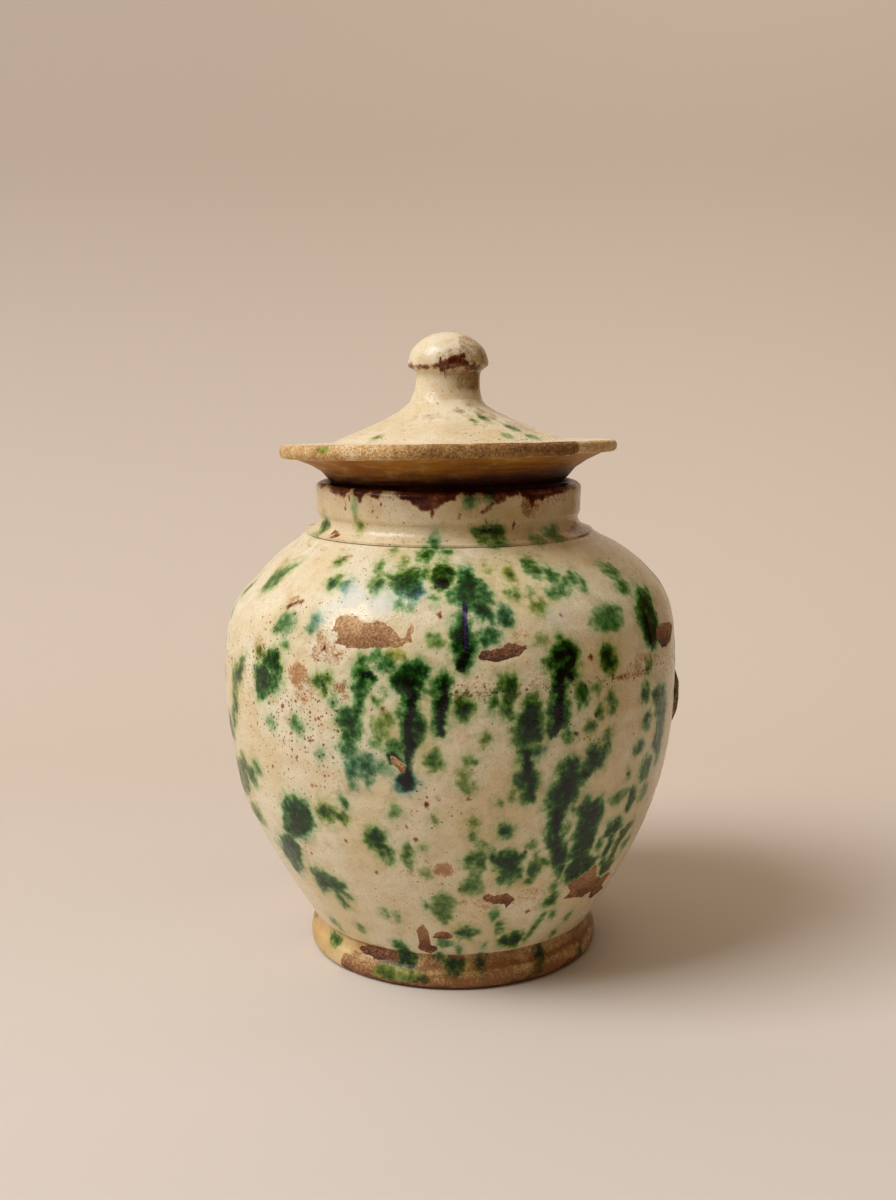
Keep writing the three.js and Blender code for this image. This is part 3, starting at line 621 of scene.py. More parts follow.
def new_tree(name, inputs, output):
    """An empty tree that takes named inputs, each with its kind, and gives a shape."""
    tree = bpy.data.node_groups.new(name, "GeometryNodeTree")
    for port, kind in inputs.items():
        tree.interface.new_socket(port, in_out="INPUT", socket_type="NodeSocket" + kind)
    tree.interface.new_socket(output, in_out="OUTPUT", socket_type="NodeSocketGeometry")
    return tree


def wheel_tree():
    """Sweeps a section round a circle, as clay turns on the wheel, and closes it on the axis."""
    tree = new_tree("turned_on_the_wheel",
                    {"Section": "Geometry", "Columns": "Int", "Wheel Radius": "Float", "Glaze": "Material"},
                    "Piece")
    given = add(tree, "NodeGroupInput")
    section = add(tree, "GeometryNodeMeshToCurve", {"Mesh": given["Section"]})["Curve"]
    circle = add(tree, "GeometryNodeCurvePrimitiveCircle",
                 {"Resolution": given["Columns"], "Radius": given["Wheel Radius"]})["Curve"]
    swept = add(tree, "GeometryNodeCurveToMesh", {"Curve": circle, "Profile Curve": section})["Mesh"]
    closed = add(tree, "GeometryNodeMergeByDistance", {"Geometry": swept, "Distance": 1e-6})["Geometry"]
    whole = add(tree, "GeometryNodeRealizeInstances", {"Geometry": closed})["Geometry"]
    glazed = add(tree, "GeometryNodeSetMaterial", {"Geometry": whole, "Material": given["Glaze"]})[0]
    add(tree, "NodeGroupOutput", {"Piece": glazed})
    return tree


def grit_tree():
    """Scatters grains over a surface by its grit mark, half sunk in it."""
    tree = new_tree("grit_in_the_glaze",
                    {"Surface": "Geometry", "Grains per Square Metre": "Float", "Grain Radius": "Float",
                     "Seed": "Int", "Clay": "Material"},
                    "Grit")
    given = add(tree, "NodeGroupInput")
    mark = add(tree, "GeometryNodeInputNamedAttribute", {"Name": "grit"}, data_type="FLOAT")["Attribute"]
    density = add(tree, "ShaderNodeMath", {0: mark, 1: given["Grains per Square Metre"]},
                  operation="MULTIPLY")[0]
    spots = add(tree, "GeometryNodeDistributePointsOnFaces",
                {"Mesh": given["Surface"], "Density": density, "Seed": given["Seed"]})
    grain = add(tree, "GeometryNodeMeshIcoSphere",
                {"Radius": given["Grain Radius"], "Subdivisions": 1})["Mesh"]
    size = add(tree, "FunctionNodeRandomValue",
               {"Min": (0.5, 0.5, 0.4), "Max": (1.5, 1.3, 1.0), "Seed": given["Seed"]},
               data_type="FLOAT_VECTOR")
    grains = add(tree, "GeometryNodeInstanceOnPoints",
                 {"Points": spots["Points"], "Instance": grain, "Rotation": spots["Rotation"],
                  "Scale": size["Value"]})["Instances"]
    whole = add(tree, "GeometryNodeRealizeInstances", {"Geometry": grains})["Geometry"]
    clay = add(tree, "GeometryNodeSetMaterial", {"Geometry": whole, "Material": given["Clay"]})["Geometry"]
    add(tree, "NodeGroupOutput", {"Grit": clay})
    return tree


def put(name, data):
    """An object in the scene that holds a mesh, a light or a camera."""
    thing = bpy.data.objects.new(name, data)
    bpy.context.scene.collection.objects.link(thing)
    return thing


def grown(name, mesh, tree, values):
    """The plain mesh that a tree makes of a mesh, with its named inputs set."""
    source = put(name, mesh)
    modifier = source.modifiers.new(tree.name, "NODES")
    modifier.node_group = tree
    for socket in tree.interface.items_tree:
        if socket.name in values:
            modifier[socket.identifier] = values[socket.name]
    result = bpy.data.meshes.new_from_object(source.evaluated_get(bpy.context.evaluated_depsgraph_get()))
    source.modifiers.clear()
    bpy.data.objects.remove(source)
    return result


# Places on a turned piece
Place = namedtuple("Place", "points turn radius height facing seen")


def turned(name, section, columns, glaze):
    """The section swept round the wheel, and where each of its corners is in the wheel's frame."""
    mesh = bpy.data.meshes.new(name + "_section")
    radius, height = section.points.T
    spots = np.stack([radius - WHEEL_RADIUS, -height, 0 * radius], axis=1) * MM
    last = len(spots) - 1
    links = [(number, number + 1) for number in range(last)]
    mesh.from_pydata(spots.tolist(), links + [(last, 0)] * section.closed, [])
    facing = np.stack([section.facing[:, 0], section.seen, section.facing[:, 1]], axis=1)
    mesh.attributes.new("facing", "FLOAT_VECTOR", "POINT").data.foreach_set("vector", facing.ravel())
    inputs = {"Columns": columns, "Wheel Radius": WHEEL_RADIUS * MM, "Glaze": glaze}
    result = grown(name, mesh, WHEEL_TREE, inputs)
    points = np.zeros(3 * len(result.vertices))
    result.vertices.foreach_get("co", points)
    carried = np.zeros(3 * len(result.vertices))
    result.attributes["facing"].data.foreach_get("vector", carried)
    result.attributes.remove(result.attributes["facing"])
    points = points.reshape(-1, 3) / MM
    across, back, up = points.T
    facing = carried.reshape(-1, 3)
    turn = np.degrees(np.arctan2(across, -back))
    out = np.hypot(across, back)
    return result, Place(points, turn, out, up.copy(), facing[:, [0, 2]], facing[:, 1] > 0.5)


# Measuring marks on a sheet wrapped round the piece
def around(sheet, spots, margin):
    """The numbers of the corners near some spots, and where those lie beside them."""
    along, height = sheet
    low, high = np.min(spots, axis=0) - margin, np.max(spots, axis=0) + margin
    middle = (low[0] + high[0]) / 2
    aside = (along - middle + FULL_TURN / 2) % FULL_TURN - FULL_TURN / 2 + middle
    near = np.flatnonzero((aside > low[0]) & (aside < high[0]) & (height > low[1]) & (height < high[1]))
    return near, aside[near], height[near]


def on_belly(spots):
    """Spots by turn and height, on the sheet."""
    return np.array([(turn * DEGREE, height) for turn, height in spots])


def sheet_of(place):
    """Where the corners of a piece lie on the sheet: along it and up."""
    return np.array([place.turn * DEGREE, place.height])


def oval_depth(sheet, turn, level, width, tallness, margin=6.0):
    """Corners near an oval, and how deep inside its edge they are."""
    centre = np.array([turn * DEGREE, level])
    half = np.array([width, tallness]) / 2
    near, u, v = around(sheet, [centre - half, centre + half], margin)
    across, up = u - centre[0], v - centre[1]
    away = np.hypot(across / half[0], up / half[1])
    return near, (1 - away) * np.where(away > 1, np.hypot(across, up) / np.maximum(away, 1), half.min())


def nearest_edge(u, v, spots):
    """Distance from corners to a line through spots."""
    best = np.full(len(u), 1e9)
    for start, end in zip(spots[:-1], spots[1:]):
        way = end - start
        share = np.clip(((u - start[0]) * way[0] + (v - start[1]) * way[1]) / max(way @ way, 1e-9), 0, 1)
        best = np.minimum(best, np.hypot(u - start[0] - share * way[0], v - start[1] - share * way[1]))
    return best


def run_depth(sheet, width, spots, margin=6.0):
    """Corners near a run through spots, and how deep inside its edge they are."""
    spots = on_belly(spots)
    near, u, v = around(sheet, spots, margin)
    return near, width / 2 - nearest_edge(u, v, spots)


def patch_depth(sheet, spots, margin=6.0):
    """Corners near a patch with an outline, and how deep inside its edge they are."""
    spots = on_belly(spots)
    near, u, v = around(sheet, spots, margin)
    inside = np.zeros(len(near), bool)
    for (u1, v1), (u2, v2) in zip(spots, np.roll(spots, -1, axis=0)):
        crosses = (v1 > v) != (v2 > v)
        inside ^= crosses & (u < u1 + (u2 - u1) * (v - v1) / (v2 - v1 if v2 != v1 else 1e-9))
    edge = nearest_edge(u, v, np.vstack([spots, spots[:1]]))
    return near, np.where(inside, edge, -edge)


def blank_marks(count):
    """Marks for plain slip under clear glaze."""
    marks = {name: np.zeros(count) for name in SHARES}
    marks.update({name: np.full(count, OUTSIDE) for name in EDGED})
    return marks


def lay(mark, near, value):
    """Adds to a mark, where the larger value wins."""
    mark[near] = np.maximum(mark[near], value)


def lay_green(marks, splashes):
    """Copper green. Each entry has the corners near a splash, their depth in it, its thickness and tone."""
    weight = np.full(len(marks["green"]), 1e-6)
    for near, depth, thickness, tone in splashes:
        share = thickness * smooth_step(-5, 1, depth) ** 2
        lay(marks["green"], near, depth)
        marks["coat"][near] += thickness * share
        marks["tone"][near] += tone * share
        weight[near] += share
    marks["coat"] /= weight
    marks["tone"] /= weight


def lay_runs(mark, sheet, runs):
    """Runs, each with its width and the places that it passes."""
    for width, *spots in runs:
        lay(mark, *run_depth(sheet, width, spots))


def lay_soft(mark, sheet, stains, soft=2.0):
    """Stains with edges that fade over about soft millimetres."""
    for turn, level, width, tallness, strength in stains:
        near, depth = oval_depth(sheet, turn, level, width, tallness)
        lay(mark, near, strength * smooth_step(-soft, soft / 2, depth))


def lay_bare(marks, near, depth, shade):
    """Clay without glaze: the deepest patch gives its shade."""
    deeper = depth > marks["bare"][near]
    marks["bare"][near[deeper]] = depth[deeper]
    marks["clay"][near[deeper]] = np.broadcast_to(shade, depth.shape)[deeper]


def hidden_side(draw):
    """Splashes, runs, flakes, stains and the lip's brown for the sides that the front doesn't show."""
    splashes, runs, flakes, stains = [], [], [], []
    for _ in range(HIDDEN_SPLASHES):
        size = draw.gamma(3.0, 2.1) + 1.5
        splashes.append((draw.uniform(77, 281), draw.triangular(16, 112, 163), size,
                         size * draw.uniform(.7, 1.5), draw.uniform(.35, 1.0), draw.uniform(-.4, .5)))
    for _ in range(HIDDEN_RUNS):
        turn, level = draw.uniform(85, 270), draw.uniform(95, 140)
        drop = draw.uniform(14, 34)
        splashes.append((turn, level, draw.uniform(8, 13), draw.uniform(9, 14), 1.1, .1))
        splashes.append((turn, level - drop / 2, draw.uniform(4, 7), drop, .95, 0))
        runs.append((draw.uniform(1.4, 2.6), (turn, level), (turn + .5, level - drop * .5),
                     (turn - .3, level - drop)))
    for _ in range(HIDDEN_FLAKES):
        turn, level = draw.uniform(90, 268), draw.choice([22, 36, 60, 100, 128, 140])
        wide, tall = draw.uniform(3, 8), draw.uniform(2, 4.5)
        corners = [(turn + wide * math.cos(angle) * draw.uniform(.6, 1.1),
                    level + tall * math.sin(angle) * draw.uniform(.6, 1.1))
                   for angle in np.linspace(0, 2 * math.pi, 13)[:-1]]
        flakes.append((draw.uniform(.4, .8), *corners))
    for _ in range(HIDDEN_STAINS):
        stains.append((draw.uniform(78, 280), draw.uniform(16, 160), draw.uniform(3, 12),
                       draw.uniform(2, 8), draw.uniform(.25, .8)))
    for _ in range(HIDDEN_COLLAR_SPLASHES):
        splashes.append((draw.uniform(84, 280), draw.uniform(166, 180), draw.uniform(5, 16),
                         draw.uniform(3, 6), draw.uniform(.2, .9), draw.uniform(-.3, .4)))
    drips = [(turn + draw.uniform(-1.2, 1.2), draw.triangular(178, 183.6, 184))
             for turn in range(78, 292, 4)]
    brown = [(74, LIP_BROWN), *drips, (297, LIP_BROWN)]
    return splashes, runs, flakes, stains, brown


# Marks on the jar
def jar_marks(place):
    """Everything that glaze, fire and wear left on the jar, with painted highlights among the milky places.
    """
    marks = blank_marks(len(place.points))
    splashes, runs, flakes, stains, brown = hidden_side(np.random.default_rng(HIDDEN_SEED))
    sheet = sheet_of(place)
    wide, close = stray(place.points, 4.6, 1), stray(place.points, 1.8, 5)
    loose = sheet + 0.9 * wide + 0.5 * close
    firm = sheet + 0.35 * wide + 0.12 * close
    ragged = sheet + 0.4 * close
    greens = [(*patch_depth(loose, corners), thickness, tone) for thickness, tone, *corners in GREEN_MASSES]
    greens += [(*oval_depth(loose, *splash[:4]), *splash[4:]) for splash in SPLASHES + splashes]
    greens += [(*run_depth(firm, width, spots), thickness, tone)
               for thickness, tone, width, *spots in GREEN_RUNS]
    lay_green(marks, greens)
    lay_runs(marks["black"], firm, BLACK_RUNS + runs)
    lay_runs(marks["violet"], firm, VIOLET_RUNS)
    parted = np.minimum(marks["green"], -4 * marks["violet"])
    marks["green"] = np.where(marks["violet"] > 0, parted, marks["green"])
    lay_runs(marks["brown"], ragged, BROWN_RUNS)
    for corners in BROWN_PATCHES + [brown]:
        lay(marks["brown"], *patch_depth(ragged, corners))
    for turn, level, size in SPECKS:
        lay(marks["brown"], *oval_depth(ragged, turn, level, size - SPECK_SPREAD, size - SPECK_SPREAD))
    lay_soft(marks["rust_and_shade"], loose, RUST + stains)
    lay_soft(marks["milky_and_highlight"], loose, MILKY_AND_HIGHLIGHT, 3.0)
    for shade, *corners in FLAKES + flakes:
        near, depth = patch_depth(ragged, corners)
        low, high = np.min(corners, axis=0)[1], np.max(corners, axis=0)[1]
        lay_bare(marks, near, depth, shade + 0.2 * (low + high - 2 * place.height[near]) / (high - low))
    lay_bare(marks, *oval_depth(ragged, *SCAB), 0.75)
    turn, level, wide, tall = SPECK_CROWD
    crowd = smooth_step(1, 0.2, np.hypot((place.turn - turn) / wide, (place.height - level) / tall))
    seam = smooth_step(5, 0, np.abs(place.height - SEAM_HEIGHT))
    seam *= smooth_step(27, 33, np.abs(place.turn - SEAM_GLAZED_TURN))
    marks["speck"] = 0.45 + 0.55 * np.maximum(crowd, 1.25 * seam) + 0.3 * noise(place.points, 22, 9)
    return marks


def jar_relief(place, marks):
    """How far each corner of the jar's outside stands out from the plain turned shape."""
    relief = lumps(place.points, JAR_LUMPS)
    rings = np.sin(2 * math.pi * (place.height + 1.6 * noise(place.points, 40, 23)) / THROWING_RING)
    relief += 0.06 * rings * smooth_step(14, 30, place.height)
    for turn, level, spread, out in SWELLS:
        swell = np.exp(-((place.height - level) / spread) ** 2)
        relief += out * swell * smooth_step(75, 5, np.abs(place.turn - turn))
    relief *= smooth_step(0, 3, place.height)
    relief -= WORN_EDGE * smooth_step(1.8, 0, place.height)
    relief -= FLAKE_DEPTH * smooth_step(0, 0.8, marks["bare"])
    relief += FLAKE_LIP * np.exp(-((marks["bare"] + 0.7) / 0.6) ** 2)
    relief += RUN_PROUD * smooth_step(-0.6, 0.6, marks["black"])
    relief += 0.1 * marks["coat"] * smooth_step(-0.6, 1.4, marks["green"])
    near, depth = oval_depth(sheet_of(place), *SCAB)
    relief[near] += (SCAB_PROUD + FLAKE_DEPTH) * smooth_step(-0.6, 1.6, depth)
    return relief


def foot_wear(place, marks):
    """The foot ring's glaze has worn to clay along its lower edge and underneath."""
    ragged = place.height + 1.4 * noise(place.points, 6, 30) + 0.6 * noise(place.points, 1.8, 31)
    worn = 2.4 - 1.8 * smooth_step(-43, -47, place.turn) * smooth_step(-110, -80, place.turn)
    under = (place.height < 0.6) | (place.radius < 53)
    depth = np.where(under, 2.0, worn - ragged)
    lay_bare(marks, np.arange(len(depth)), depth, np.where(under, 0.3, 0.68))
    pale = smooth_step(-40, -48, place.turn) * smooth_step(-90, -76, place.turn)
    stained = 0.7 + 0.5 * noise(place.points, 9, 32) + 0.4 * smooth_step(7, 3, place.height)
    crease = smooth_step(1.2, 0.2, np.abs(place.height - 8.4 - 0.4 * noise(place.points, 5, 33)))
    near, covered = oval_depth(np.array([place.turn * DEGREE, ragged]), *FOOT_SLIP)
    pale[near] = np.maximum(pale[near], smooth_step(-0.6, 0.6, covered))
    marks["rust_and_shade"] = np.maximum(marks["rust_and_shade"], np.clip(stained + 0.4 * crease, 0, 1.2)) * (1 - pale)


# Marks on the lid
def lid_marks(place, rim_spots=()):
    """Rim spots are green ovals on the rim's edge: turn, height, width, tallness, thickness, tone."""
    marks = blank_marks(len(place.points))
    scale = np.maximum(place.radius, 6) / BELLY_RADIUS
    wander = 0.7 * stray(place.points, 3.4, 40) + 0.4 * stray(place.points, 1.5, 42)
    plan = np.array([place.turn * DEGREE + wander[0] / scale, place.radius + wander[1]])
    side = sheet_of(place)
    greens = [(*oval_depth(plan, turn, radius, width * BELLY_RADIUS / radius, length), thickness, tone)
              for turn, radius, width, length, thickness, tone in LID_SPLASHES]
    inward = place.radius - place.radius.max() + RIM_SPOT_REACH
    for spot in rim_spots:
        near, depth = oval_depth(side, *spot[:4], 2)
        greens.append((near, np.minimum(depth, inward[near]), *spot[4:]))
    lay_green(marks, greens)
    rust_and_shade = [(turn, radius, width * BELLY_RADIUS / radius, length, strength)
            for turn, radius, width, length, strength in LID_RUST_AND_SHADE]
    lay_soft(marks["rust_and_shade"], plan, rust_and_shade, 3.5)
    marks["speck"] = 0.55 + 0.35 * noise(place.points, 16, 44)
    return marks


def on_tongue(turn, soft):
    """How far a turn is on the part of the rim that was ground thinner."""
    return smooth_step(RIM_TONGUE[0] - soft, RIM_TONGUE[0] + soft, turn) * (turn < RIM_TONGUE[1])


def dish_marks(place):
    """Slip and splashes on top, and a rim of bare gritty clay, peach on the left and brown to the right."""
    marks = lid_marks(place, RIM_SPOTS)
    rim_radius = place.radius.max()
    at_rim = place.height[place.radius > rim_radius - 0.5]
    ragged = 0.5 * noise(place.points, 3, 45) + 0.3 * noise(place.points, 1.2, 46)
    band = np.minimum(place.radius - (rim_radius - 1.6) + ragged, 1.5)
    tongue = on_tongue(place.turn, 0.6)
    peach = smooth_step(-12, -45, place.turn) * smooth_step(-180, -110, place.turn)
    white = smooth_step(-40, -32, place.turn) * smooth_step(-2, -14, place.turn)
    browned = smooth_step(5, 40, place.turn) * smooth_step(180, 130, place.turn)
    shade = 0.54 - 0.32 * peach - 0.22 * white + 0.1 * browned
    shade += 0.08 * noise(place.points, 14, 47)
    marks["clay"] = shade + (0.16 - shade) * tongue
    side = sheet_of(place)
    amber = np.zeros(len(place.turn))
    lay_soft(amber, side, RIM_AMBER, 1.5)
    amber *= smooth_step(0, 2, place.radius - rim_radius + RIM_SPOT_REACH)
    band -= 2.5 * smooth_step(0.35, 0.6, amber * (0.5 + 0.6 * noise(place.points, 2.5, 49)))
    band = np.where(marks["green"] > 0, np.minimum(band, -1), band)
    marks["bare"] = np.maximum(marks["bare"], band)
    marks["grit"] = smooth_step(0.2, 1.2, marks["bare"]) * (1 - tongue) * place.seen
    marks["rust_and_shade"] = np.maximum(marks["rust_and_shade"], amber * (0.6 + 0.5 * noise(place.points, 3, 48)))
    for turn, size in RIM_CHIPS:
        lay(marks["brown"], *oval_depth(side, turn, at_rim.mean() + .4, 2.2 * size, 1.4 * size))
    return marks


def lid_relief(place, marks):
    """How far each corner of the lid stands out from the plain turned shape."""
    relief = lumps(place.points, LID_LUMPS)
    relief += 0.05 * np.sin(2 * math.pi * place.radius / LID_RING + 2 * noise(place.points, 30, 53))
    relief += 0.08 * marks["coat"] * smooth_step(-0.6, 1.4, marks["green"])
    return relief


def thin_tongue(place):
    """The curve under the rim is hollowed, and the underside of the rim's ground part is higher."""
    rim_low, rim_high = RIM_EDGE
    under = np.clip((rim_high - place.height) / (rim_high - rim_low), 0, 1)
    lift = RIM_TONGUE_LIFT * on_tongue(place.turn, 3) * under * smooth_step(50, 61, place.radius)
    most, start, full, fade, end = RIM_HOLLOW
    hollow = most * smooth_step(start, full, place.radius) * smooth_step(end, fade, place.radius)
    place.points[:, 2] += lift + hollow * (place.height < rim_low - 0.8)


def feather(place):
    """The amber glaze runs out thin under the rim, so that no step shows at the spigot's outer edge."""
    outer = place.radius.max()
    share = smooth_step(outer - FEATHER_REACH, outer - 0.3, place.radius)
    place.points[:, 2] += FEATHER_SHARE * share * (place.height.max() - place.height)


def knob_marks(place):
    """Slip with a broken band of brown round the cap, and stains on its right that also paint the shade
    under the cap and down the stem's right side.
    """
    marks = lid_marks(place)
    marks["speck"] -= KNOB_FEWER_SPECKS
    marks["green"][:] = OUTSIDE
    sheet = sheet_of(place) + stray(place.points, 2.4, 60) * [[3], [0.6]]
    lay_runs(marks["brown"], sheet, KNOB_BROWN)
    lay_soft(marks["rust_and_shade"], sheet, KNOB_RUST_AND_SHADE, 8)
    marks["rust_and_shade"] *= smooth_step(0, KNOB_STAIN_AND_SHADE_FADE, place.height - place.height.min())
    return marks


def spigot_marks(place):
    """Amber glaze with brushed streaks round it. It darkens towards the mouth as pooled glaze and as painted
    shade under the rim, and to the right as painted shade.
    """
    marks = blank_marks(len(place.points))
    streak = noise(np.stack([place.turn * 0.25, place.height * 2.4, place.radius * 2.4], axis=1), 2.0, 70)
    level = place.height + 0.6 * noise(place.points, 9, 71)
    pooled_and_shaded = 0.38
    for high, low, more in AMBER_POOLS_AND_SHADE:
        pooled_and_shaded = pooled_and_shaded + more * smooth_step(high, low, level)
    # Darker to the right: painted shade on the side turned away from the key light
    right = smooth_step(-30, 40, place.turn) * smooth_step(180, 110, place.turn)
    marks["rust_and_shade"] = np.clip(pooled_and_shaded * (0.75 + 0.4 * right) + 0.22 * streak, 0, 1.4)
    marks["speck"] = 0.4 + 0.3 * noise(place.points, 12, 72)
    return marks


# Materials
MATH = "ShaderNodeMath"
EASE = "ShaderNodeMapRange"
MIX = "ShaderNodeMix"
LUMPS = "ShaderNodeTexNoise"
CELLS = "ShaderNodeTexVoronoi"

# What one coat of copper green lets through, from blue to olive, and bare clay from pale to dark
GREENS = [(0, "#2F6A76"), (.5, "#3C7A3A"), (1, "#75801C")]
CLAYS = [(0, "#EAD9B8"), (.15, "#DDB688"), (.4, "#B28B5C"), (.65, "#8E6040"), (1, "#4A2A1C")]
RIM_CLAYS = [(0, "#E8D6AC"), (.15, "#DBB278"), (.4, "#B08A50"), (.65, "#8A6032"), (1, "#452A16")]

# Lumps in slip and glaze: name, millimetres across, detail. Streaks are drawn out downwards
GLAZE_LUMPS = [("cloud", 26, 3), ("patch", 8, 4), ("mottle", 2.4, 4), ("streak", 1.6, 2), ("grain", 0.7, 2)]
STREAK = (1, 1, 0.2)
CRACKLE = 0.9  # millimetres between its lines

# Warmer places in the slip: lumps, from which value to which, how much, colour
SLIP_TINTS = [
    ("patch", .5, .72, .4, "#D3AE74"), ("mottle", .5, .74, .3, "#C49C62"), ("grain", .5, .76, .3, "#B18650"),
]
# The colour of crystallised glaze, also used for painted highlights
MILKY_HIGHLIGHT_WHITE = "#DEDFD2"

# Iron specks: millimetres between them, and how crowded. Real ones of 0.1 to 0.4 mm are too fine to show,
# so they are drawn as coarse as they need to show
SPECK_CELLS = [(1.7, .55), (1.0, .5)]
SPECK_BROWN = "#844A1E"

# How lumps make every edge ragged, and how a splash thickens inwards: from which depth to which, layers
RAGS = [("mottle", 2.2), ("streak", 1.2), ("grain", 0.6)]
RAG_MIDDLE = -2.0
GREEN_LAYERS = [(-5, 0, .15), (-1.7, 1.9, 1.15), (0.4, 4.5, .65)]

# Other coats: the mark, how lumps push its edge, half the edge's width, layers, what a layer lets through
COATS = [
    ("brown", 1.1, .9, 1.4, "#8A5542"), ("black", .9, 1.3, 1.2, "#1A3A22"), ("violet", .4, .5, 1, "#40328A"),
]
GLAZE_IOR = 1.52
GLAZE_SPECULAR = 0.36


def per_mm(size):
    """The texture scale at which a pattern's lumps are size millimetres across."""
    return 1000 / size


def blank_material(name):
    """A material with an empty tree."""
    material = bpy.data.materials.new(name)
    material.use_nodes = True
    material.node_tree.nodes.clear()
    return material


def slip_coat(tree, mark, lump, slip, blush, stain_and_shade_color, tear):
    """The colour of the slip, with iron stains and milky places in it; the stain mark also carries painted
    shade, and the milky mark painted highlights.
    """
    color = linear(slip)
    for key, low, high, most, code in [("cloud", .36, .68, 1, blush), *SLIP_TINTS]:
        share = add(tree, EASE, {"Value": lump[key], "From Min": low, "From Max": high, "To Max": most},
                    interpolation_type="SMOOTHSTEP")[0]
        color = add(tree, MIX, {0: share, 6: color, 7: linear(code)}, data_type="RGBA")[2]
    torn = add(tree, MATH, {0: lump["mottle"], 1: lump["grain"]}, operation="ADD")[0]
    for key, push, low, high, most, code in (("rust_and_shade", tear, tear + .25, tear + 1.2, .95, stain_and_shade_color),
                                             ("milky_and_highlight", 1.3, 1.5, 2.6, .85, MILKY_HIGHLIGHT_WHITE)):
        share = add(tree, MATH, {0: torn, 1: push, 2: mark[key]}, operation="MULTIPLY_ADD")[0]
        share = add(tree, EASE, {"Value": share, "From Min": low, "From Max": high, "To Max": most},
                    interpolation_type="SMOOTHSTEP")[0]
        color = add(tree, MIX, {0: share, 6: color, 7: linear(code)}, data_type="RGBA")[2]
    return color


def iron_specks(tree, place, mark):
    """How much of a speck lies under the glaze: some of the cells hold a dot."""
    dots = 0.0
    for size, crowd in SPECK_CELLS:
        cell = add(tree, CELLS, {"Vector": place, "Scale": per_mm(size)})
        chance = add(tree, "ShaderNodeSeparateColor", {"Color": cell["Color"]})["Red"]
        chance = add(tree, MATH, {0: mark["speck"], 1: crowd, 2: chance}, operation="MULTIPLY_ADD")[0]
        reach = add(tree, MATH, {0: chance, 1: .45 / crowd, 2: -.45 / crowd}, operation="MULTIPLY_ADD")[0]
        inside = add(tree, MATH, {0: reach, 1: cell["Distance"]}, operation="SUBTRACT")[0]
        dot = add(tree, EASE, {"Value": inside, "From Min": -0.05, "From Max": 0.08, "To Max": 0.85})[0]
        dots = add(tree, MATH, {0: dots, 1: dot}, operation="MAXIMUM")[0]
    return dots


def glaze_coats(tree, mark, lump, rag, color):
    """Copper green and other coats: light is lost by the same share in every layer of the glaze."""
    depth = add(tree, MATH, {0: mark["green"], 1: rag}, operation="ADD")[0]
    thick = 0.0
    for low, high, most in GREEN_LAYERS:
        share = add(tree, EASE, {"Value": depth, "From Min": low, "From Max": high, "To Max": most},
                    interpolation_type="SMOOTHSTEP")[0]
        thick = add(tree, MATH, {0: thick, 1: share}, operation="ADD")[0]
    uneven = add(tree, MATH, {0: lump["patch"], 1: 1.8, 2: -0.9}, operation="MULTIPLY_ADD")[0]
    uneven = add(tree, MATH, {0: lump["mottle"], 1: 2, 2: uneven}, operation="MULTIPLY_ADD")[0]
    for share in (mark["coat"], uneven):
        thick = add(tree, MATH, {0: thick, 1: share}, operation="MULTIPLY")[0]
    tone = add(tree, MATH, {0: mark["tone"], 1: 0.5, 2: 0.5}, operation="MULTIPLY_ADD")[0]
    through = add(tree, "ShaderNodeValToRGB", {"Fac": tone}, GREENS)["Color"]
    through = add(tree, "ShaderNodeVectorMath", {0: through, 1: thick}, operation="POWER")[0]
    color = add(tree, MIX, {0: 1.0, 6: color, 7: through}, data_type="RGBA", blend_type="MULTIPLY")[2]
    for key, push, soft, layers, code in COATS:
        depth = add(tree, MATH, {0: rag, 1: push, 2: mark[key]}, operation="MULTIPLY_ADD")[0]
        thick = add(tree, EASE, {"Value": depth, "From Min": -soft, "From Max": soft, "To Max": layers},
                    interpolation_type="SMOOTHSTEP")[0]
        thick = add(tree, MATH, {0: thick, 1: uneven}, operation="MULTIPLY")[0]
        through = add(tree, "ShaderNodeVectorMath", {0: linear(code)[:3], 1: thick}, operation="POWER")[0]
        color = add(tree, MIX, {0: 1.0, 6: color, 7: through}, data_type="RGBA", blend_type="MULTIPLY")[2]
    return color


def bare_clay(tree, mark, lump, crackle, clays):
    """The colour of clay that lost its glaze, from pale to dark."""
    shade = mark["clay"]
    for part, push in ((lump["patch"], .65), (lump["mottle"], .4), (lump["grain"], .65), (crackle, -.35)):
        shade = add(tree, MATH, {0: part, 1: push, 2: shade}, operation="MULTIPLY_ADD")[0]
    shade = add(tree, MATH, {0: shade, 1: 0.69}, operation="SUBTRACT")[0]
    return add(tree, "ShaderNodeValToRGB", {"Fac": shade}, clays)["Color"]


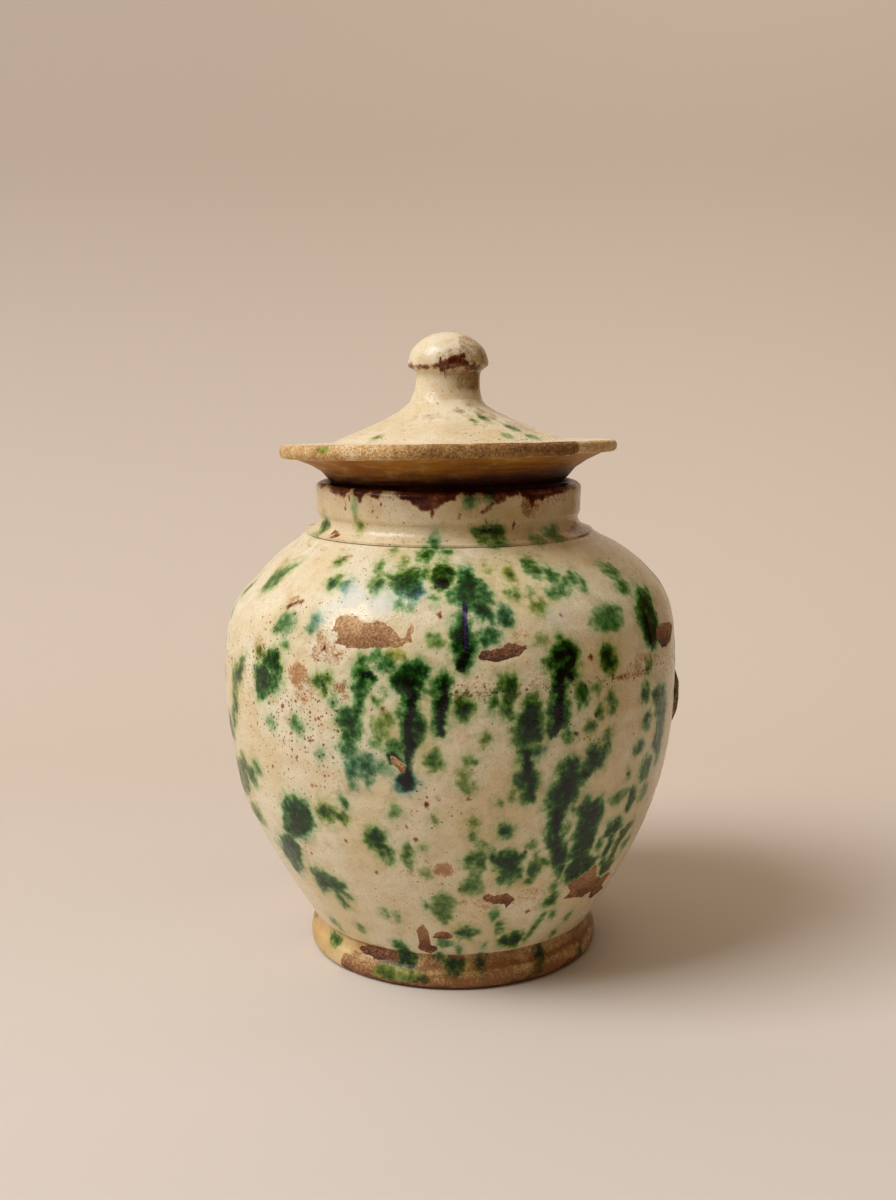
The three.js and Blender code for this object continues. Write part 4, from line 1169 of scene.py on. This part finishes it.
def earthenware(name, slip, blush, stain_and_shade_color, gloss, tear=1.4, clays=CLAYS):
    """Fired red clay under cream slip and a clear lead glaze. The slip mottles and blushes where iron comes
    through, copper stains it green as deep as the glaze is thick, and flakes bare the matt clay."""
    material = blank_material(name)
    tree = material.node_tree
    place = add(tree, "ShaderNodeTexCoord")["Object"]
    mark = {key: add(tree, "ShaderNodeAttribute", attribute_name=key)["Fac"] for key in MARKS}
    upright = add(tree, "ShaderNodeVectorMath", {0: place, 1: STREAK}, operation="MULTIPLY")[0]
    lump = {}
    for key, size, detail in GLAZE_LUMPS:
        where = upright if key == "streak" else place
        lump[key] = add(tree, LUMPS, {"Vector": where, "Scale": per_mm(size), "Detail": detail})["Fac"]
    crackle = add(tree, CELLS, {"Vector": place, "Scale": per_mm(CRACKLE)})["Distance"]
    rag = RAG_MIDDLE
    for key, push in RAGS:
        rag = add(tree, MATH, {0: lump[key], 1: push, 2: rag}, operation="MULTIPLY_ADD")[0]

    # Layers from the slip outwards, then what has flaked off
    color = slip_coat(tree, mark, lump, slip, blush, stain_and_shade_color, tear)
    dots = iron_specks(tree, place, mark)
    color = add(tree, MIX, {0: dots, 6: color, 7: linear(SPECK_BROWN)}, data_type="RGBA")[2]
    color = glaze_coats(tree, mark, lump, rag, color)
    edge = add(tree, MATH, {0: rag, 1: 0.45, 2: mark["bare"]}, operation="MULTIPLY_ADD")[0]
    bared = add(tree, EASE, {"Value": edge, "From Min": -0.12, "From Max": 0.16},
                interpolation_type="SMOOTHSTEP")[0]
    clay = bare_clay(tree, mark, lump, crackle, clays)
    color = add(tree, MIX, {0: bared, 6: color, 7: clay}, data_type="RGBA")[2]

    # Gloss, dull where the glaze is milky or a highlight is painted, and where clay is bare
    rough = add(tree, MATH, {0: lump["mottle"], 1: 0.3, 2: gloss - 0.15}, operation="MULTIPLY_ADD")[0]
    for share, dull in ((mark["milky_and_highlight"], 0.5), (bared, 0.8)):
        rough = add(tree, MIX, {0: share, 2: rough, 3: dull})[0]

    # Relief in millimetres: crackle, pits at the specks, and gritty clay
    grit = add(tree, MATH, {0: lump["grain"], 1: bared}, operation="MULTIPLY")[0]
    height = 0.0
    for part, tall in ((crackle, -0.07), (lump["mottle"], 0.12), (dots, -0.1), (grit, 0.4), (bared, -0.12)):
        height = add(tree, MATH, {0: part, 1: tall, 2: height}, operation="MULTIPLY_ADD")[0]
    bump = add(tree, "ShaderNodeBump", {"Height": height, "Distance": MM, "Strength": 0.8})["Normal"]
    surface = add(tree, "ShaderNodeBsdfPrincipled",
                  {"Base Color": color, "Roughness": rough, "IOR": GLAZE_IOR,
                   "Specular IOR Level": GLAZE_SPECULAR, "Normal": bump})["BSDF"]
    add(tree, "ShaderNodeOutputMaterial", {"Surface": surface})
    return material


def plain_stage():
    """Matt painted board, warm and pale, with painted light that makes it a little paler towards the front.
    """
    material = blank_material("matt_painted_board")
    tree = material.node_tree
    place = add(tree, "ShaderNodeTexCoord")["Object"]
    back = add(tree, "ShaderNodeSeparateXYZ", {"Vector": place})["Y"]
    # Paler towards the front: painted light on the floor
    share = add(tree, EASE, {"Value": back, "From Min": 0.3, "From Max": -0.3},
                interpolation_type="SMOOTHSTEP")[0]
    color = add(tree, MIX, {0: share, 6: linear("#CEC2B2"), 7: linear("#DDD5CC")}, data_type="RGBA")[2]
    surface = add(tree, "ShaderNodeBsdfPrincipled", {"Base Color": color, "Roughness": 0.9})["BSDF"]
    add(tree, "ShaderNodeOutputMaterial", {"Surface": surface})
    return material


# Setting pieces
WHEEL_TREE = wheel_tree()
GRIT_TREE = grit_tree()
JAR_WHEEL = wheel_of(frame["record"]["behaviour"]["bodies"]["jar"])
LID_WHEEL = wheel_of(frame["record"]["behaviour"]["bodies"]["lid"])
GLAZES = {
    "splashed_glaze": earthenware("splashed_slipware", "#EEE5C6", "#E5D3A6", "#B07A44", 0.24),
    "collar_glaze": earthenware("collar_slipware", "#ECDFBC", "#DFC898", "#8F5D34", 0.24),
    "lid_glaze": earthenware("lid_slipware", "#EEE3C4", "#E6D4AA", "#85541F", 0.27, 0.8, RIM_CLAYS),
    "worn_foot_glaze": earthenware("worn_foot_slipware", "#DCC28C", "#C39D5E", "#8E5A2A", 0.45),
    # The amber glaze's stain colour also paints the shade under the rim
    "amber_glaze": earthenware("amber_glazed_clay", "#BE8020", "#9A5C18", "#341006", 0.55, 0.5),
}


def lean(height):
    """How far the clay leans to the right at a height."""
    return np.interp(height, *zip(*LEAN))


def set_piece(name, mesh, place, relief, marks, wheel, body):
    """Stands a turned mesh in the object: relief along its facing, the wheel's tilt and the clay's lean."""
    angle = np.radians(place.turn)
    outward = np.stack([np.sin(angle), -np.cos(angle), 0 * angle], axis=1) * place.facing[:, :1]
    outward[:, 2] = place.facing[:, 1]
    points = place.points + outward * (relief * place.seen)[:, None]
    points = points @ wheel.basis + wheel.origin
    points[:, 0] += lean(points[:, 2])
    mesh.vertices.foreach_set("co", (points * MM).ravel())
    for mark, values in marks.items():
        mesh.attributes.new(mark, "FLOAT", "POINT").data.foreach_set("value", values)
    mesh.shade_smooth()
    mesh.set_sharp_from_angle(angle=math.radians(CREASE_TURN))
    mesh.update()
    return dress(name, mesh, body)


def dress(name, mesh, body):
    """Puts a mesh in the scene as a piece of a body."""
    mesh.name = name
    piece = put(name, mesh)
    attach(piece, body)
    return piece


def scatter_grit(name, surface, body, slot, grains, radius, seed):
    """Grains set in the clay of a piece where its grit mark says so."""
    values = {"Grains per Square Metre": grains, "Grain Radius": radius * MM, "Seed": seed,
              "Clay": GLAZES[slot]}
    mesh = grown(name, surface.data.copy(), GRIT_TREE, values)
    mesh.shade_smooth()
    return dress(name, mesh, body)


def filled(node, wheel, raise_top, drop_foot):
    """A node's outline, stretched over the joints that glaze has filled."""
    outline, closed = read_outline(node, wheel)
    top, foot = outline[:, 1].max(), outline[:, 1].min()
    outline[outline[:, 1] > top - 0.05, 1] += raise_top
    outline[outline[:, 1] < foot + 0.05, 1] -= drop_foot
    return outline, closed


def jar_piece(node, slot, raise_top=0.0, drop_foot=0.0, facing_up=False, wear=None):
    """A glazed piece of the jar in place of a node."""
    section = fine_section(*filled(node, JAR_WHEEL, raise_top, drop_foot), facing_up)
    mesh, place = turned(node, section, JAR_COLUMNS, GLAZES[slot])
    marks = jar_marks(place)
    if wear:
        wear(place, marks)
    inside_jar(place, marks)
    relief = jar_relief(place, marks)
    piece = set_piece(node + "_glazed", mesh, place, relief, marks, JAR_WHEEL, "jar")
    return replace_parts(piece, node)


def inside_jar(place, marks):
    """Inside there is only clear glaze over slip, blotched with iron."""
    hidden = ~place.seen
    for name in ("green", "black", "violet", "brown"):
        marks[name][hidden] = OUTSIDE
    marks["rust_and_shade"][hidden] = (0.35 + 0.45 * noise(place.points[hidden], 16, 80)).clip(0, 1)


def lid_piece(node, slot, columns, make_marks, raise_top=0.0, drop_foot=0.0):
    """A glazed piece of the lid in place of a node."""
    section = fine_section(*filled(node, LID_WHEEL, raise_top, drop_foot), True)
    mesh, place = turned(node, section, columns, GLAZES[slot])
    marks = make_marks(place)
    relief = lid_relief(place, marks)
    thin_tongue(place)
    if node == "lid_spigot":
        feather(place)
    piece = set_piece(node + "_glazed", mesh, place, relief, marks, LID_WHEEL, "lid")
    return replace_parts(piece, node)


def rim_edge():
    """The lowest and highest corners of the lid's outer edge."""
    outline = read_outline("lid_dish", LID_WHEEL)[0]
    heights = outline[outline[:, 0] > outline[:, 0].max() - 1.5, 1]
    return heights.min(), heights.max()


RIM_EDGE = rim_edge()
jar_piece("foot_ring", "worn_foot_glaze", wear=foot_wear)
jar_piece("lower_body", "splashed_glaze", raise_top=BELLY_JOINT_FILL)
jar_piece("upper_body", "splashed_glaze", drop_foot=BELLY_JOINT_FILL)
jar_piece("neck_collar", "collar_glaze", facing_up=True)
dish = lid_piece("lid_dish", "lid_glaze", LID_COLUMNS, dish_marks)
lid_piece("lid_spigot", "amber_glaze", LID_COLUMNS, spigot_marks, raise_top=LID_JOINT_FILL)
lid_piece("lid_knob", "lid_glaze", KNOB_COLUMNS, knob_marks, drop_foot=LID_JOINT_FILL)
scatter_grit("rim_grit", dish, "lid", "lid_glaze", RIM_GRAINS, RIM_GRAIN_RADIUS, RIM_GRAIN_SEED)


# Stage, light and camera, in metres
BELLY_MIDDLE = (0, 0, 0.13)
BACKDROP_RIGHT = (0.4, 0.66, 0.5)
ROOM_GLOW = 0.085
CAMERA_PLACE = (-0.0014, -0.55677, 0.23062)
CAMERA_DOWN = 9.55  # degrees below level
CAMERA_LENS = 43.15  # millimetres, as the sensor
CAMERA_SENSOR = 36


def sweep_stage():
    """A floor that curves up into a backdrop."""
    left, right, front, bend_start, bend_radius, top = -2.2, 0.46, -0.75, 0.26, 0.4, 2.4
    line = [(front, 0), (bend_start, 0)]
    for degrees in range(5, 91, 5):
        angle = math.radians(degrees)
        line.append((bend_start + bend_radius * math.sin(angle), bend_radius * (1 - math.cos(angle))))
    line.append((bend_start + bend_radius, top))
    corners = [(side, back, up) for back, up in line for side in (left, right)]
    faces = [(2 * n, 2 * n + 1, 2 * n + 3, 2 * n + 2) for n in range(len(line) - 1)]
    mesh = bpy.data.meshes.new("sweep")
    mesh.from_pydata(corners, [], faces)
    mesh.shade_smooth()
    mesh.materials.append(plain_stage())
    sweep = put("sweep", mesh)


def lamp(name, toward, distance, size, watts, code, aim=BELLY_MIDDLE):
    """A soft box that faces a place, the jar's belly if none is given, from a direction."""
    light = bpy.data.lights.new(name, "AREA")
    light.size = size
    light.energy = watts
    light.color = linear(code)[:3]
    holder = put(name, light)
    away = Vector(toward).normalized() * distance
    holder.location = Vector(aim) + away
    holder.rotation_euler = away.to_track_quat("Z", "Y").to_euler()


def light_the_room():
    """A large soft box from the upper left, a little light from above and behind, and a warm room."""
    lamp("key_softbox", (-0.61, -0.25, 0.76), 4.2, 2.2, 165, "#FCFBFF")
    lamp("overhead_softbox", (0, -0.4, 1), 1.8, 2.2, 7, "#FFEBD2")
    lamp("backdrop_softbox", (0.1, -1, 0.5), 0.6, 0.7, 1.6, "#FFF4E8", BACKDROP_RIGHT)
    world = bpy.data.worlds.new("room")
    world.use_nodes = True
    glow = world.node_tree.nodes["Background"].inputs
    glow["Color"].default_value = linear("#FFBC78")
    glow["Strength"].default_value = ROOM_GLOW
    bpy.context.scene.world = world
    bpy.context.scene.view_settings.view_transform = "Standard"


def set_camera():
    """Level with the lid, tilted a little down, as the jar was seen."""
    camera = bpy.data.cameras.new("camera")
    camera.lens = CAMERA_LENS
    camera.sensor_width = CAMERA_SENSOR
    holder = put("camera", camera)
    holder.location = CAMERA_PLACE
    holder.rotation_euler = (math.radians(90 - CAMERA_DOWN), 0, 0)
    bpy.context.scene.camera = holder


sweep_stage()
light_the_room()
set_camera()
